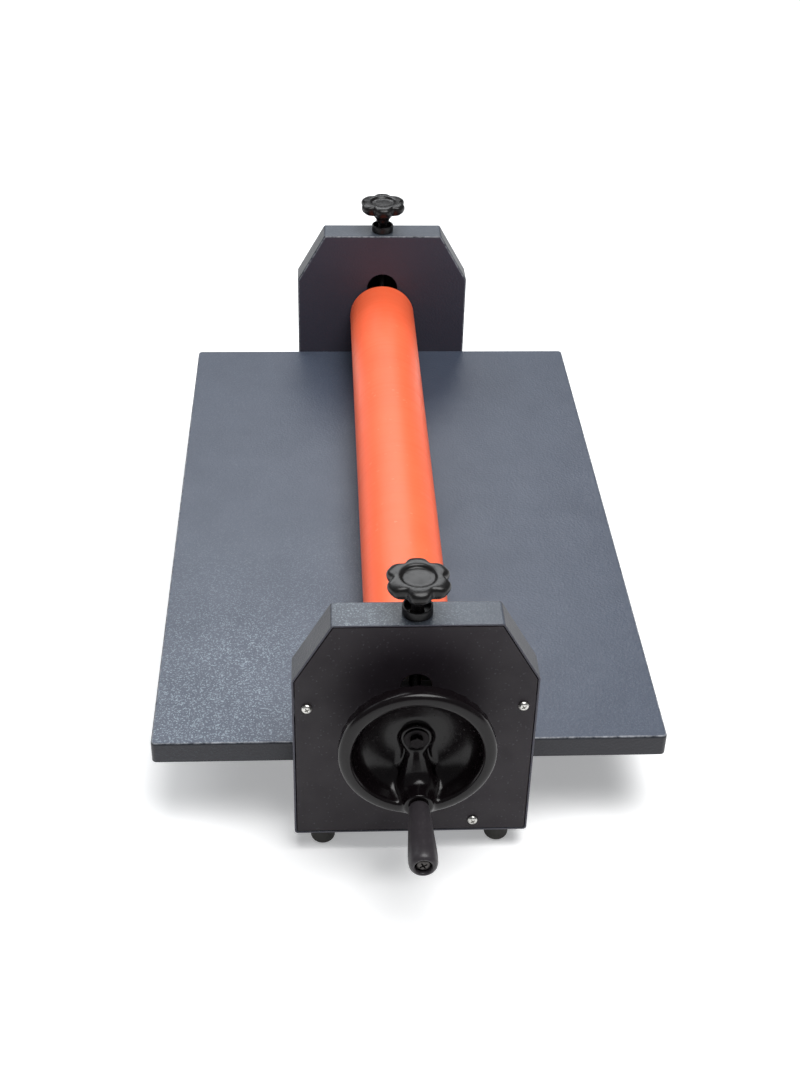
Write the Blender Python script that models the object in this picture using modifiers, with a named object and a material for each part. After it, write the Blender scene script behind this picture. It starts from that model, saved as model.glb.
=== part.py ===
"""Cold roll laminator for wide prints: a silicone roller over a lower roller, turned by a dished handwheel.

X is the feed direction, Y runs along the rollers with the handwheel at -Y, Z is up from the floor.
The machine has a near side (-Y, handwheel) and a far side (+Y). SIDES gives each side's outward sign.
"""

from math import cos, hypot, pi, radians, sin, tan

import bmesh
import bpy
from mathutils import Matrix, Vector

# ---------------------------------------------------------------- driving dimensions, in metres
GAP = 0.0003                # between faces that touch
SHEET = 0.0015              # sheet steel of the frames, covers and tables

INNER_LENGTH = 0.662        # between the side frames' inner faces
SIDE_WIDTH = 0.190
SIDE_DEPTH = 0.030
SIDE_HEIGHT = 0.215
SIDE_TOP_WIDTH = 0.129
SIDE_SHOULDER = 0.1615      # height of a side frame where its chamfer starts
SIDE_CORNER_RADIUS = 0.002
COVER_SEAM = 0.0007         # open seam between a cover and its frame's flanges

FOOT_HEIGHT = 0.0195
FOOT_RADIUS = 0.010
FOOT_X = 0.072

TABLE_WIDTH = 0.420         # both tables together, across X
TABLE_TOP = 0.092           # above the floor
TABLE_LIP = 0.020
TABLE_CORNER_RADIUS = 0.004
TABLE_GAP = 0.042           # between the tables, for the lower roller

SLEEVE_LENGTH = 0.654
UPPER_RADIUS = 0.036
UPPER_AXIS = 0.140
LOWER_RADIUS = 0.030
LOWER_AXIS = 0.0665
SLEEVE_WALL = 0.0073
TUBE_WALL = 0.003
TUBE_END = 0.006
VENT_RADIUS = 0.0015
UPPER_JOURNAL = 0.010       # radius
LOWER_JOURNAL = 0.008

LIFT_DOWN = 0.0071          # travel of the upper roller from rest down to the nip
LIFT_UP = 0.0155            # and up to the widest opening

BLOCK_WIDTH = 0.048
BLOCK_HEIGHT = 0.036
BLOCK_DEPTH = 0.018
BLOCK_NECK = 0.0167         # radius of the neck in the inner plate's slot
BUSH_RADIUS = 0.013
INNER_SLOT = 0.017          # half width of the slot in the inner plate
INNER_SLOT_TOP = 0.1715     # centre of its round top
COVER_SLOT = 0.0124
COVER_SLOT_TOP = 0.1749
GUIDE_WIDTH = 0.008
GUIDE_BOTTOM = 0.103
GUIDE_TOP = 0.203
HOUSING_WIDTH = 0.040
HOUSING_HEIGHT = 0.032

SCREW_RADIUS = 0.005        # pressure screw
NUT_WIDTH = 0.030
NUT_HEIGHT = 0.010
COLLAR_RADIUS = 0.0118
COLLAR_BORE = 0.0100
COLLAR_HEIGHT = 0.0075
COLLAR_FLOOR = 0.0015
KNOB_RADIUS = 0.0253
KNOB_LOBES = 6
KNOB_SCALLOP = 0.0042
KNOB_HEIGHT = 0.0125
KNOB_TOP = 0.035            # above the side frame
KNOB_NECK = 0.0072
KNOB_HUB = 0.0120           # radius of the cone under the knob
KNOB_HUB_LENGTH = 0.008
KNOB_NECK_LENGTH = 0.0035
KNOB_DISH = 0.0130
KNOB_DISH_DEPTH = 0.0025

WHEEL_RADIUS = 0.0605
WHEEL_FRONT = 0.0415        # rim's front plane, outward from the cover
WHEEL_SHAFT = 0.0075        # radius of the shaft in the hub
HUB_FRONT = 0.020
HUB_BACK = 0.0025
HANDLE_OFFSET = 0.0475      # handle's axis below the wheel's
HANDLE_SIDE = 0.0018        # and beside it at rest, where the wheel happens to stand
BOSS_RADIUS = 0.0112
BOSS_BACK = 0.0175
BOSS_FRONT = 0.0448
HANDLE_ROOT = 0.0455
HANDLE_END = 0.1080
RIB_ROOT = 0.010            # half width of the rib from hub to boss, at the hub
RIB_TIP = 0.0095
RIB_START = 0.011           # from the wheel's axis
RIB_BACK = 0.0130
RIB_FRONT = 0.0235
PIN_RADIUS = 0.0017         # drive pin through hub and shaft
PIN_HALF = 0.0142
PIN_OUT = 0.0075            # outward from the cover
WASHER_RADIUS = 0.0098
WASHER_THICKNESS = 0.0015
HUB_HEAD_RADIUS = 0.0055
HUB_HEAD_HEIGHT = 0.0040
HUB_SCREW_RADIUS = 0.0030
HUB_SCREW_LENGTH = 0.0090   # below the hub's front
SPINDLE_RADIUS = 0.004
SPINDLE_HEAD_RADIUS = 0.0062
SPINDLE_HEAD_HEIGHT = 0.0035
SPINDLE_HEAD_DEPTH = 0.0065 # below the handle's end
SPINDLE_NUT_RADIUS = 0.0075

SPRING_RADIUS = 0.0065
SPRING_WIRE = 0.0009
SPRING_TURNS = 6

COVER_SCREW_PLACES = {      # from the side frame's lower centre
    "left": (-0.0837, 0.135),
    "right": (0.0837, 0.135),
    "bottom": (0.050, 0.0125),
}
COVER_SCREW_HEAD = 0.0042
COVER_SCREW_SHANK = 0.002
COVER_SCREW_LENGTH = 0.007
TAB_HALF_WIDTH = 0.009
TAB_REACH = 0.0195
TABLE_SCREW_X = 0.062
TIE_BAR_X = 0.075
TIE_BAR_HEIGHT = 0.049
TIE_BAR_RADIUS = 0.010
TIE_BOLT_RADIUS = 0.004

# ---------------------------------------------------------------- places worked out from them
SIDES = {"near": -1, "far": 1}
INNER = INNER_LENGTH / 2                      # inner face of a side frame, from mid-length
OUTER = INNER + SIDE_DEPTH                    # outer face of a cover
MID_BOX = INNER + SIDE_DEPTH / 2
PLATE = INNER + SHEET                         # outer face of a side frame's inner plate
BLOCK_MID = PLATE + GAP + BLOCK_DEPTH / 2
BOX_BOTTOM = FOOT_HEIGHT
BOX_TOP = FOOT_HEIGHT + SIDE_HEIGHT
SCREW_HEAD_HEIGHT = 0.0025
NEAR_REACH = OUTER + HANDLE_END
FAR_REACH = MID_BOX + KNOB_RADIUS
MACHINE_Y = (NEAR_REACH - FAR_REACH) / 2      # mid-length of the machine, so that its box is centred on Y
BLOCK_TOP = UPPER_AXIS + BLOCK_HEIGHT / 2
BLOCK_BOTTOM = UPPER_AXIS - BLOCK_HEIGHT / 2
HOUSING_TOP = LOWER_AXIS + HOUSING_HEIGHT / 2
KNOB_BOTTOM = BOX_TOP + KNOB_TOP - KNOB_HEIGHT

ALONG = {"Z": Matrix.Identity(4), "Y": Matrix.Rotation(-pi / 2, 4, "X"), "X": Matrix.Rotation(pi / 2, 4, "Y")}


# ---------------------------------------------------------------- scene, collections and materials
def clear_scene():
    for item in list(bpy.data.objects):
        bpy.data.objects.remove(item, do_unlink=True)


def collection(name):
    made = bpy.data.collections.new(name)
    bpy.context.scene.collection.children.link(made)
    return made


def material(name, colour, roughness, metallic=0.0):
    made = bpy.data.materials.new(name)
    made.use_nodes = True
    shader = made.node_tree.nodes["Principled BSDF"]
    shader.inputs["Base Color"].default_value = (*colour, 1.0)
    shader.inputs["Roughness"].default_value = roughness
    shader.inputs["Metallic"].default_value = metallic
    return made


clear_scene()
PARTS = collection("cold_roll_laminator")
CUTTERS = collection("cutters")

HAMMERED = material("hammered_paint", (0.13, 0.15, 0.19), 0.45, 0.3)
DARK_PAINT = material("dark_paint", (0.045, 0.038, 0.045), 0.5)
SILICONE = material("orange_silicone", (0.80, 0.18, 0.07), 0.5)
RUBBER = material("black_rubber", (0.02, 0.02, 0.02), 0.8)
BAKELITE = material("black_bakelite", (0.012, 0.011, 0.012), 0.2)
STEEL = material("bright_steel", (0.55, 0.55, 0.56), 0.3, 1.0)
ZINC = material("zinc_plate", (0.65, 0.65, 0.63), 0.3, 1.0)
BRONZE = material("sintered_bronze", (0.45, 0.30, 0.14), 0.45, 1.0)
NYLON = material("black_nylon", (0.03, 0.03, 0.03), 0.5)


# ---------------------------------------------------------------- placing and shaping
def station(name, location, parent=None):
    """An empty that pieces are placed on, at a point of the machine in metres."""
    made = bpy.data.objects.new(name, None)
    made.location = location
    made.parent = parent
    PARTS.objects.link(made)
    return made


def place(name, bm, paint, parent, location=(0, 0, 0), turn=None):
    """Turns a bmesh into a named object on its station. Without a material it is a cutter."""
    bmesh.ops.recalc_face_normals(bm, faces=bm.faces)
    mesh = bpy.data.meshes.new(name)
    bm.to_mesh(mesh)
    bm.free()
    return place_mesh(name, mesh, paint, parent, location, turn)


def place_mesh(name, mesh, paint, parent, location=(0, 0, 0), turn=None):
    item = bpy.data.objects.new(name, mesh)
    item.parent = parent
    item.matrix_local = Matrix.Translation(location) @ (turn or Matrix.Identity(4))
    if paint is None:
        CUTTERS.objects.link(item)
        item.hide_render = True
        item.display_type = "WIRE"
    else:
        PARTS.objects.link(item)
        mesh.materials.append(paint)
    mesh.shade_smooth()
    mesh.set_sharp_from_angle(angle=radians(35))
    return item


def box(name, paint, parent, low, high):
    bm = bmesh.new()
    middle = [(a + b) / 2 for a, b in zip(low, high)]
    size = [abs(b - a) for a, b in zip(low, high)]
    bmesh.ops.create_cube(bm, size=1.0, matrix=Matrix.Diagonal((*size, 1.0)))
    return place(name, bm, paint, parent, middle)


def cylinder(name, paint, parent, radius, start, end, axis="Y", centre=(0, 0), segments=24):
    """A cylinder from start to end along axis. centre is its place on the two other axes, in X, Y, Z order."""
    bm = bmesh.new()
    bmesh.ops.create_cone(
        bm, cap_ends=True, segments=segments, radius1=radius, radius2=radius, depth=abs(end - start)
    )
    location = list(centre)
    location.insert("XYZ".index(axis), (start + end) / 2)
    return place(name, bm, paint, parent, location, ALONG[axis])


def turned(name, paint, parent, profile, steps=24, turn=None, location=(0, 0, 0), closed=False):
    """A turned piece.

    profile is (radius, height) pairs from the top down the outside, and back up inside if closed.
    """
    bm = bmesh.new()
    points = [bm.verts.new((radius, 0, height)) for radius, height in profile]
    for first, second in zip(points, points[1:]):
        bm.edges.new((first, second))
    if closed:
        bm.edges.new((points[-1], points[0]))
    mesh = bpy.data.meshes.new(name)
    bm.to_mesh(mesh)
    bm.free()
    item = place_mesh(name, mesh, paint, parent, location, turn)
    screw = item.modifiers.new("turn", "SCREW")
    screw.axis = "Z"
    screw.angle = 2 * pi
    screw.steps = steps
    screw.render_steps = steps
    screw.use_merge_vertices = True
    screw.merge_threshold = 0.00001
    screw.use_smooth_shade = True
    return item


def prism(name, paint, parent, outline, start, end, axis="Y", location=(0, 0, 0)):
    """A flat outline extruded along an axis. On Y it is a list of (x, z), on Z of (x, y)."""
    bm = bmesh.new()
    lift = {"Y": lambda u, v, w: (u, w, v), "Z": lambda u, v, w: (u, v, w)}[axis]
    face = bm.faces.new([bm.verts.new(lift(u, v, start)) for u, v in outline])
    grown = bmesh.ops.extrude_face_region(bm, geom=[face])
    moved = [item for item in grown["geom"] if isinstance(item, bmesh.types.BMVert)]
    bmesh.ops.translate(bm, verts=moved, vec=lift(0, 0, end - start))
    return place(name, bm, paint, parent, location)


def arc(centre, radius, start, end, steps):
    """Points on an arc, angles in degrees."""
    turns = [radians(start + (end - start) * i / steps) for i in range(steps + 1)]
    return [(centre[0] + radius * cos(t), centre[1] + radius * sin(t)) for t in turns]


def stadium(x, bottom, top, radius, steps=8):
    """A vertical slot's outline between the centres of its two round ends."""
    return arc((x, bottom), radius, 180, 360, steps) + arc((x, top), radius, 0, 180, steps)


def rounded(corners, radius, steps=2):
    """A convex outline, counter-clockwise, with each corner rounded."""
    outline = []
    for i, corner in enumerate(corners):
        here = Vector(corner)
        back = (Vector(corners[i - 1]) - here).normalized()
        ahead = (Vector(corners[(i + 1) % len(corners)]) - here).normalized()
        half = back.angle(ahead) / 2
        centre = here + (back + ahead).normalized() * radius / sin(half)
        first = here + back * radius / tan(half) - centre
        last = here + ahead * radius / tan(half) - centre
        sweep = first.angle_signed(last)
        for j in range(steps + 1):
            spoke = first.copy()
            spoke.rotate(Matrix.Rotation(-sweep * j / steps, 2))
            outline.append(tuple(centre + spoke))
    return outline


def cut(item, cutter, operation="DIFFERENCE"):
    boolean = item.modifiers.new(cutter.name, "BOOLEAN")
    boolean.operation = operation
    boolean.solver = "EXACT"
    boolean.object = cutter
    return item


def bevel(item, width, segments=2, angle=40):
    rounding = item.modifiers.new("rounding", "BEVEL")
    rounding.width = width
    rounding.segments = segments
    rounding.limit_method = "ANGLE"
    rounding.angle_limit = radians(angle)
    return item


def folded_tray(name, paint, parent, outline, flange, depth, direction):
    """An open sheet: a flat face at the station's origin, with the outline edges that flange() accepts turned along
    direction by depth. Solidify gives it the sheet's thickness, inside the outline."""
    bm = bmesh.new()
    face = bm.faces.new([bm.verts.new(point) for point in outline])
    edges = [edge for edge in face.edges if flange(*[vert.co for vert in edge.verts])]
    grown = bmesh.ops.extrude_edge_only(bm, edges=edges)
    moved = [item for item in grown["geom"] if isinstance(item, bmesh.types.BMVert)]
    bmesh.ops.translate(bm, verts=moved, vec=direction * depth)
    bmesh.ops.recalc_face_normals(bm, faces=bm.faces)
    bm.faces.ensure_lookup_table()
    if bm.faces[0].normal.dot(direction) > 0:
        bmesh.ops.reverse_faces(bm, faces=bm.faces)
    mesh = bpy.data.meshes.new(name)
    bm.to_mesh(mesh)
    bm.free()
    item = place_mesh(name, mesh, paint, parent)
    solid = item.modifiers.new("sheet", "SOLIDIFY")
    solid.thickness = SHEET
    solid.offset = -1
    solid.use_even_offset = True
    return item


# ---------------------------------------------------------------- side boxes
def side_corners(inset=0.0):
    """The six corners of a side frame seen along Y, counter-clockwise, moved in by inset."""
    half = SIDE_WIDTH / 2 - inset
    top_half = SIDE_TOP_WIDTH / 2
    slope = hypot(SIDE_WIDTH / 2 - top_half, SIDE_HEIGHT - SIDE_SHOULDER)
    run = (SIDE_WIDTH / 2 - top_half) / slope
    rise = (SIDE_HEIGHT - SIDE_SHOULDER) / slope
    top = BOX_TOP - inset
    shoulder = BOX_BOTTOM + SIDE_SHOULDER - inset * (1 - rise) / run
    crown = top_half - inset * (1 - run) / rise
    bottom = BOX_BOTTOM + inset
    return [(-half, bottom), (half, bottom), (half, shoulder), (crown, top), (-crown, top), (-half, shoulder)]


def cover_tab(side, tab, parent, sign, x, z):
    """A tab behind the cover for one of its screws, grown from the nearest flange."""
    back = sign * (SIDE_DEPTH - 2 * SHEET - 2 * GAP)
    front = sign * (SIDE_DEPTH - SHEET - 2 * GAP)
    if tab == "bottom":
        low = (x - TAB_HALF_WIDTH, back, BOX_BOTTOM + SHEET / 2)
        high = (x + TAB_HALF_WIDTH, front, BOX_BOTTOM + TAB_REACH)
    else:
        hand = 1 if x > 0 else -1
        edge = hand * (SIDE_WIDTH / 2 - SHEET / 2)
        inward = hand * (SIDE_WIDTH / 2 - TAB_REACH)
        low = (min(edge, inward), back, z - TAB_HALF_WIDTH)
        high = (max(edge, inward), front, z + TAB_HALF_WIDTH)
    return box(f"{side}_tab_{tab}", None, parent, low, high)


def side_frame(side, machine):
    sign = SIDES[side]
    here = station(side + "_frame_station", (0, sign * INNER, 0), machine)
    outline = [(x, 0, z) for x, z in rounded(side_corners(), SIDE_CORNER_RADIUS)]
    frame = folded_tray(
        side + "_side_frame", HAMMERED, here, outline, lambda a, b: True, SIDE_DEPTH, Vector((0, sign, 0))
    )
    through = (-sign * 0.002, sign * 0.004)

    for tab, (x, height) in COVER_SCREW_PLACES.items():
        cut(frame, cover_tab(side, tab, here, sign, x, BOX_BOTTOM + height), "UNION")
    for tab, (x, height) in COVER_SCREW_PLACES.items():
        hole = cylinder(
            f"{side}_tab_hole_{tab}", None, here, COVER_SCREW_SHANK + GAP,
            sign * SIDE_DEPTH / 2, sign * SIDE_DEPTH, "Y", (x, BOX_BOTTOM + height), 14,
        )
        cut(frame, hole)

    slot = stadium(0, UPPER_AXIS - LIFT_DOWN - GAP, INNER_SLOT_TOP, INNER_SLOT)
    cut(frame, prism(side + "_inner_slot", None, here, slot, *through))
    holes = [("journal", LOWER_JOURNAL + 0.001, 0, LOWER_AXIS, 20)]
    for hand in (-1, 1):
        label = "infeed" if hand < 0 else "outfeed"
        holes.append((label + "_tie", TIE_BOLT_RADIUS + GAP, hand * TIE_BAR_X, TIE_BAR_HEIGHT, 12))
        table_screw = (hand * TABLE_SCREW_X, TABLE_TOP - TABLE_LIP / 2)
        holes.append((label + "_table", COVER_SCREW_SHANK + GAP, *table_screw, 12))
    for label, radius, x, z, segments in holes:
        name = f"{side}_{label}_hole"
        cut(frame, cylinder(name, None, here, radius, *through, "Y", (x, z), segments))

    middle = sign * SIDE_DEPTH / 2
    top_hole = cylinder(
        side + "_top_hole", None, here, SCREW_RADIUS + 0.0008,
        BOX_TOP - 0.005, BOX_TOP + 0.005, "Z", (0, middle), 16,
    )
    cut(frame, top_hole)
    for hand in (-1, 1):
        stem_hole = cylinder(
            f"{side}_stem_hole_{hand}", None, here, FOOT_RADIUS / 2,
            BOX_BOTTOM - 0.005, BOX_BOTTOM + 0.005, "Z", (hand * FOOT_X, middle), 16,
        )
        cut(frame, stem_hole)
    return frame


def cover(side, machine):
    sign = SIDES[side]
    here = station(side + "_cover_station", (0, sign * OUTER, 0), machine)
    outline = rounded(side_corners(SHEET + COVER_SEAM), SIDE_CORNER_RADIUS / 2)
    plate = prism(side + "_cover", DARK_PAINT, here, outline, 0, -sign * SHEET)
    through = (-0.005, 0.005)
    if side == "near":
        slot = stadium(0, UPPER_AXIS - LIFT_DOWN, COVER_SLOT_TOP, COVER_SLOT)
        cut(plate, prism("cover_slot", None, here, slot, *through))
    for label, (x, height) in COVER_SCREW_PLACES.items():
        z = BOX_BOTTOM + height
        hole = cylinder(
            f"{side}_cover_hole_{label}", None, here, COVER_SCREW_SHANK + GAP, *through, "Y", (x, z), 12
        )
        cut(plate, hole)
        spot = station(f"{side}_{label}_screw_station", (x, sign * GAP, z), here)
        pan_screw(f"{side}_cover_screw_{label}", spot, sign)


def pan_screw(name, parent, sign):
    """A pan-head screw whose head stands outward from its station."""
    head = COVER_SCREW_HEAD
    shank = COVER_SCREW_SHANK
    profile = [
        (0, SCREW_HEAD_HEIGHT),
        (head * 0.62, SCREW_HEAD_HEIGHT * 0.92),
        (head * 0.93, SCREW_HEAD_HEIGHT * 0.6),
        (head, 0),
        (shank, 0),
        (shank, -COVER_SCREW_LENGTH),
        (0, -COVER_SCREW_LENGTH),
    ]
    turn = Matrix.Rotation(-sign * pi / 2, 4, "X")
    return turned(name, ZINC, parent, profile, 12, turn)


def foot(side, hand, machine):
    """A push-in rubber foot, with its stem through the bottom flange."""
    label = "infeed" if hand < 0 else "outfeed"
    here = station(f"{side}_{label}_foot_station", (hand * FOOT_X, SIDES[side] * MID_BOX, 0), machine)
    stem = FOOT_RADIUS * 0.45
    top = FOOT_HEIGHT - GAP
    profile = [
        (0, FOOT_HEIGHT + 0.007),
        (stem * 0.7, FOOT_HEIGHT + 0.007),
        (stem, FOOT_HEIGHT + 0.005),
        (stem, top),
        (FOOT_RADIUS, top),
        (FOOT_RADIUS, 0.004),
        (FOOT_RADIUS * 0.93, 0.0015),
        (FOOT_RADIUS * 0.78, 0),
        (0, 0),
    ]
    return turned(f"{side}_{label}_foot", RUBBER, here, profile, 16)


# ---------------------------------------------------------------- tables and tie bars
def table(hand, machine):
    label = "infeed" if hand < 0 else "outfeed"
    inner = hand * TABLE_GAP / 2
    outer = hand * TABLE_WIDTH / 2
    end = INNER - GAP
    low, high = sorted((inner, outer))
    corners = [(low, -end), (high, -end), (high, end), (low, end)]
    plain = arc((0, 0), TABLE_CORNER_RADIUS, 0, 90, 3)
    outline = []
    for x, y in corners:
        if x == inner:
            outline.append((x, y))
            continue
        side_x = 1 if x > 0 else -1
        side_y = 1 if y > 0 else -1
        corner = [
            (x + side_x * (u - TABLE_CORNER_RADIUS), y + side_y * (v - TABLE_CORNER_RADIUS)) for u, v in plain
        ]
        outline += corner if side_x == side_y else corner[::-1]
    here = station(label + "_table_station", (0, 0, TABLE_TOP), machine)
    sheet = folded_tray(
        label + "_table", HAMMERED, here, [(x, y, 0) for x, y in outline],
        lambda a, b: not (a.x == b.x and abs(a.x - inner) < GAP),
        TABLE_LIP, Vector((0, 0, -1)),
    )
    for side, sign in SIDES.items():
        hole = cylinder(
            f"{label}_{side}_lip_hole", None, here, COVER_SCREW_SHANK + GAP,
            sign * (end + 0.003), sign * (end - 0.006), "Y", (hand * TABLE_SCREW_X, -TABLE_LIP / 2), 12,
        )
        cut(sheet, hole)
        spot = station(
            f"{label}_{side}_screw_station", (hand * TABLE_SCREW_X, sign * (PLATE + GAP), -TABLE_LIP / 2), here
        )
        pan_screw(f"{side}_{label}_table_screw", spot, sign)


def tie_bar(hand, machine):
    """A round bar between the side frames, drilled for a hex bolt at each end."""
    label = "infeed" if hand < 0 else "outfeed"
    here = station(label + "_tie_station", (hand * TIE_BAR_X, 0, TIE_BAR_HEIGHT), machine)
    end = INNER - GAP
    bar = cylinder(label + "_tie_bar", STEEL, here, TIE_BAR_RADIUS, -end, end, segments=24)
    depth = 0.016
    for side, sign in SIDES.items():
        hole = cylinder(
            f"{label}_{side}_tie_hole", None, here, TIE_BOLT_RADIUS + GAP,
            sign * (end - depth), sign * (end + 0.002), segments=12,
        )
        cut(bar, hole)
        bolt = cylinder(
            f"{side}_{label}_tie_bolt", ZINC, here, TIE_BOLT_RADIUS,
            sign * (end - depth + 0.001), sign * (PLATE + 0.002), segments=12,
        )
        head = cylinder(
            f"{side}_{label}_bolt_head", None, here, TIE_BOLT_RADIUS * 1.85,
            sign * (PLATE + GAP), sign * (PLATE + 0.0055), segments=6,
        )
        cut(bolt, head, "UNION")


# ---------------------------------------------------------------- bearings and lift
def guides(side, machine):
    sign = SIDES[side]
    here = station(side + "_guide_station", (0, sign * BLOCK_MID, 0), machine)
    for hand in (-1, 1):
        near_edge = hand * (BLOCK_WIDTH / 2 + GAP)
        far_edge = hand * (BLOCK_WIDTH / 2 + GAP + GUIDE_WIDTH)
        low = (min(near_edge, far_edge), -BLOCK_DEPTH / 2, GUIDE_BOTTOM)
        high = (max(near_edge, far_edge), BLOCK_DEPTH / 2, GUIDE_TOP)
        name = f"{side}_{'infeed' if hand < 0 else 'outfeed'}_guide"
        bevel(box(name, STEEL, here, low, high), 0.001)


def lower_housing(side, machine):
    sign = SIDES[side]
    here = station(side + "_housing_station", (0, sign * BLOCK_MID, LOWER_AXIS), machine)
    half = (HOUSING_WIDTH / 2, BLOCK_DEPTH / 2, HOUSING_HEIGHT / 2)
    housing = bevel(box(side + "_lower_housing", NYLON, here, [-v for v in half], half), 0.002)
    bore = cylinder(side + "_lower_bore", None, here, LOWER_JOURNAL + GAP, -0.02, 0.02, segments=24)
    return cut(housing, bore)


def bearing_block(side, carriage):
    """The sliding block that carries the upper shaft. Its round neck runs in the inner plate's slot."""
    sign = SIDES[side]
    here = station(side + "_block_station", (0, sign * BLOCK_MID, 0), carriage)
    half = (BLOCK_WIDTH / 2, BLOCK_DEPTH / 2, BLOCK_HEIGHT / 2)
    block = bevel(box(side + "_bearing_block", NYLON, here, [-v for v in half], half), 0.0015)
    neck_end = -sign * (BLOCK_MID - INNER + 0.001)
    neck = cylinder(side + "_neck", None, here, BLOCK_NECK, 0, neck_end, segments=28)
    cut(block, neck, "UNION")
    cut(block, cylinder(side + "_bush_bore", None, here, BUSH_RADIUS + GAP, -0.03, 0.03, segments=24))
    depth = BLOCK_MID - INNER + 0.001
    profile = [
        (UPPER_JOURNAL + GAP, BLOCK_DEPTH / 2),
        (BUSH_RADIUS, BLOCK_DEPTH / 2),
        (BUSH_RADIUS, -depth),
        (UPPER_JOURNAL + GAP, -depth),
    ]
    turn = Matrix.Rotation(-sign * pi / 2, 4, "X")
    turned(side + "_upper_bush", BRONZE, here, profile, 24, turn, closed=True)


def lift_hardware(side, machine):
    """The nut under the box top and the collar on it."""
    sign = SIDES[side]
    here = station(side + "_lift_station", (0, sign * MID_BOX, BOX_TOP), machine)
    under = -SHEET - GAP
    low = (-NUT_WIDTH / 2, -NUT_WIDTH / 4, under - NUT_HEIGHT)
    nut = bevel(box(side + "_lift_nut", STEEL, here, low, (NUT_WIDTH / 2, NUT_WIDTH / 4, under)), 0.001)
    cut(nut, cylinder(side + "_nut_bore", None, here, SCREW_RADIUS + GAP, -0.02, 0.01, "Z", segments=20))
    bore = SCREW_RADIUS + 0.0006
    profile = [
        (COLLAR_BORE, COLLAR_HEIGHT + GAP),
        (COLLAR_RADIUS - 0.0006, COLLAR_HEIGHT + GAP),
        (COLLAR_RADIUS, COLLAR_HEIGHT - 0.0006),
        (COLLAR_RADIUS, GAP),
        (bore, GAP),
        (bore, COLLAR_FLOOR),
        (COLLAR_BORE, COLLAR_FLOOR),
    ]
    turned(side + "_screw_collar", NYLON, here, profile, 20, closed=True)


def lift_spring(side, machine):
    """A coil spring that holds the bearing block up against its screw."""
    sign = SIDES[side]
    bottom = HOUSING_TOP + GAP + SPRING_WIRE
    top = BLOCK_BOTTOM - GAP - SPRING_WIRE
    here = station(side + "_spring_station", (0, sign * BLOCK_MID, bottom), machine)
    per_turn = 8
    count = SPRING_TURNS * per_turn
    wire = bpy.data.curves.new(side + "_lift_spring", "CURVE")
    wire.dimensions = "3D"
    wire.bevel_depth = SPRING_WIRE
    wire.bevel_resolution = 1
    wire.use_fill_caps = True
    coil = wire.splines.new("POLY")
    coil.points.add(count)
    for i, point in enumerate(coil.points):
        turn = 2 * pi * i / per_turn
        height = (top - bottom) * i / count
        point.co = (SPRING_RADIUS * cos(turn), SPRING_RADIUS * sin(turn), height, 1)
    wire.materials.append(STEEL)
    item = bpy.data.objects.new(side + "_lift_spring", wire)
    item.parent = here
    PARTS.objects.link(item)
    return item


def star_outline(radius, lobes, scallop, steps):
    """A star knob's outline: full lobes with round scallops between them."""
    outline = []
    for i in range(lobes * steps):
        turn = 2 * pi * i / (lobes * steps)
        dip = (0.5 + 0.5 * cos(lobes * turn)) ** 2
        reach = radius - scallop * dip
        outline.append((reach * cos(turn), reach * sin(turn)))
    return outline


def knob(side, carriage):
    """A pressure screw with its star knob, both turned as one."""
    sign = SIDES[side]
    here = station(side + "_knob_station", (0, sign * MID_BOX, -UPPER_AXIS), carriage)
    star = prism(
        side + "_knob", BAKELITE, here, star_outline(KNOB_RADIUS, KNOB_LOBES, KNOB_SCALLOP, 8),
        KNOB_BOTTOM, KNOB_BOTTOM + KNOB_HEIGHT, "Z",
    )
    bevel(star, 0.003, 1, 60)
    neck_bottom = KNOB_BOTTOM - KNOB_HUB_LENGTH - KNOB_NECK_LENGTH
    hub = [
        (0, KNOB_BOTTOM + 0.004),
        (KNOB_HUB, KNOB_BOTTOM + 0.004),
        (KNOB_HUB, KNOB_BOTTOM - 0.0005),
        (KNOB_NECK, KNOB_BOTTOM - KNOB_HUB_LENGTH),
        (KNOB_NECK, neck_bottom),
        (0, neck_bottom),
    ]
    cut(star, turned(side + "_knob_hub", None, here, hub, 24), "UNION")
    knob_top = KNOB_BOTTOM + KNOB_HEIGHT
    dish = cylinder(
        side + "_knob_dish", None, here, KNOB_DISH, knob_top - KNOB_DISH_DEPTH, knob_top + 0.005, "Z", segments=32
    )
    cut(star, dish)
    screw_top = KNOB_BOTTOM + KNOB_HEIGHT / 2
    bore = cylinder(
        side + "_knob_bore", None, here, SCREW_RADIUS + GAP,
        neck_bottom - 0.005, screw_top + GAP, "Z", segments=16,
    )
    cut(star, bore)
    profile = [
        (0, screw_top),
        (SCREW_RADIUS, screw_top),
        (SCREW_RADIUS, BLOCK_TOP + 0.006),
        (SCREW_RADIUS * 0.75, BLOCK_TOP + 0.005),
        (SCREW_RADIUS * 0.75, BLOCK_TOP + 0.002),
        (0, BLOCK_TOP + GAP),
    ]
    turned(side + "_pressure_screw", STEEL, here, profile, 16)


# ---------------------------------------------------------------- rollers
def sleeve(name, paint, parent, radius):
    half = SLEEVE_LENGTH / 2
    bore = radius - SLEEVE_WALL
    chamfer = 0.0008
    profile = [
        (bore, half),
        (radius - chamfer, half),
        (radius, half - chamfer),
        (radius, -half + chamfer),
        (radius - chamfer, -half),
        (bore, -half),
    ]
    return turned(name, paint, parent, profile, 40, ALONG["Y"], closed=True)


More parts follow.
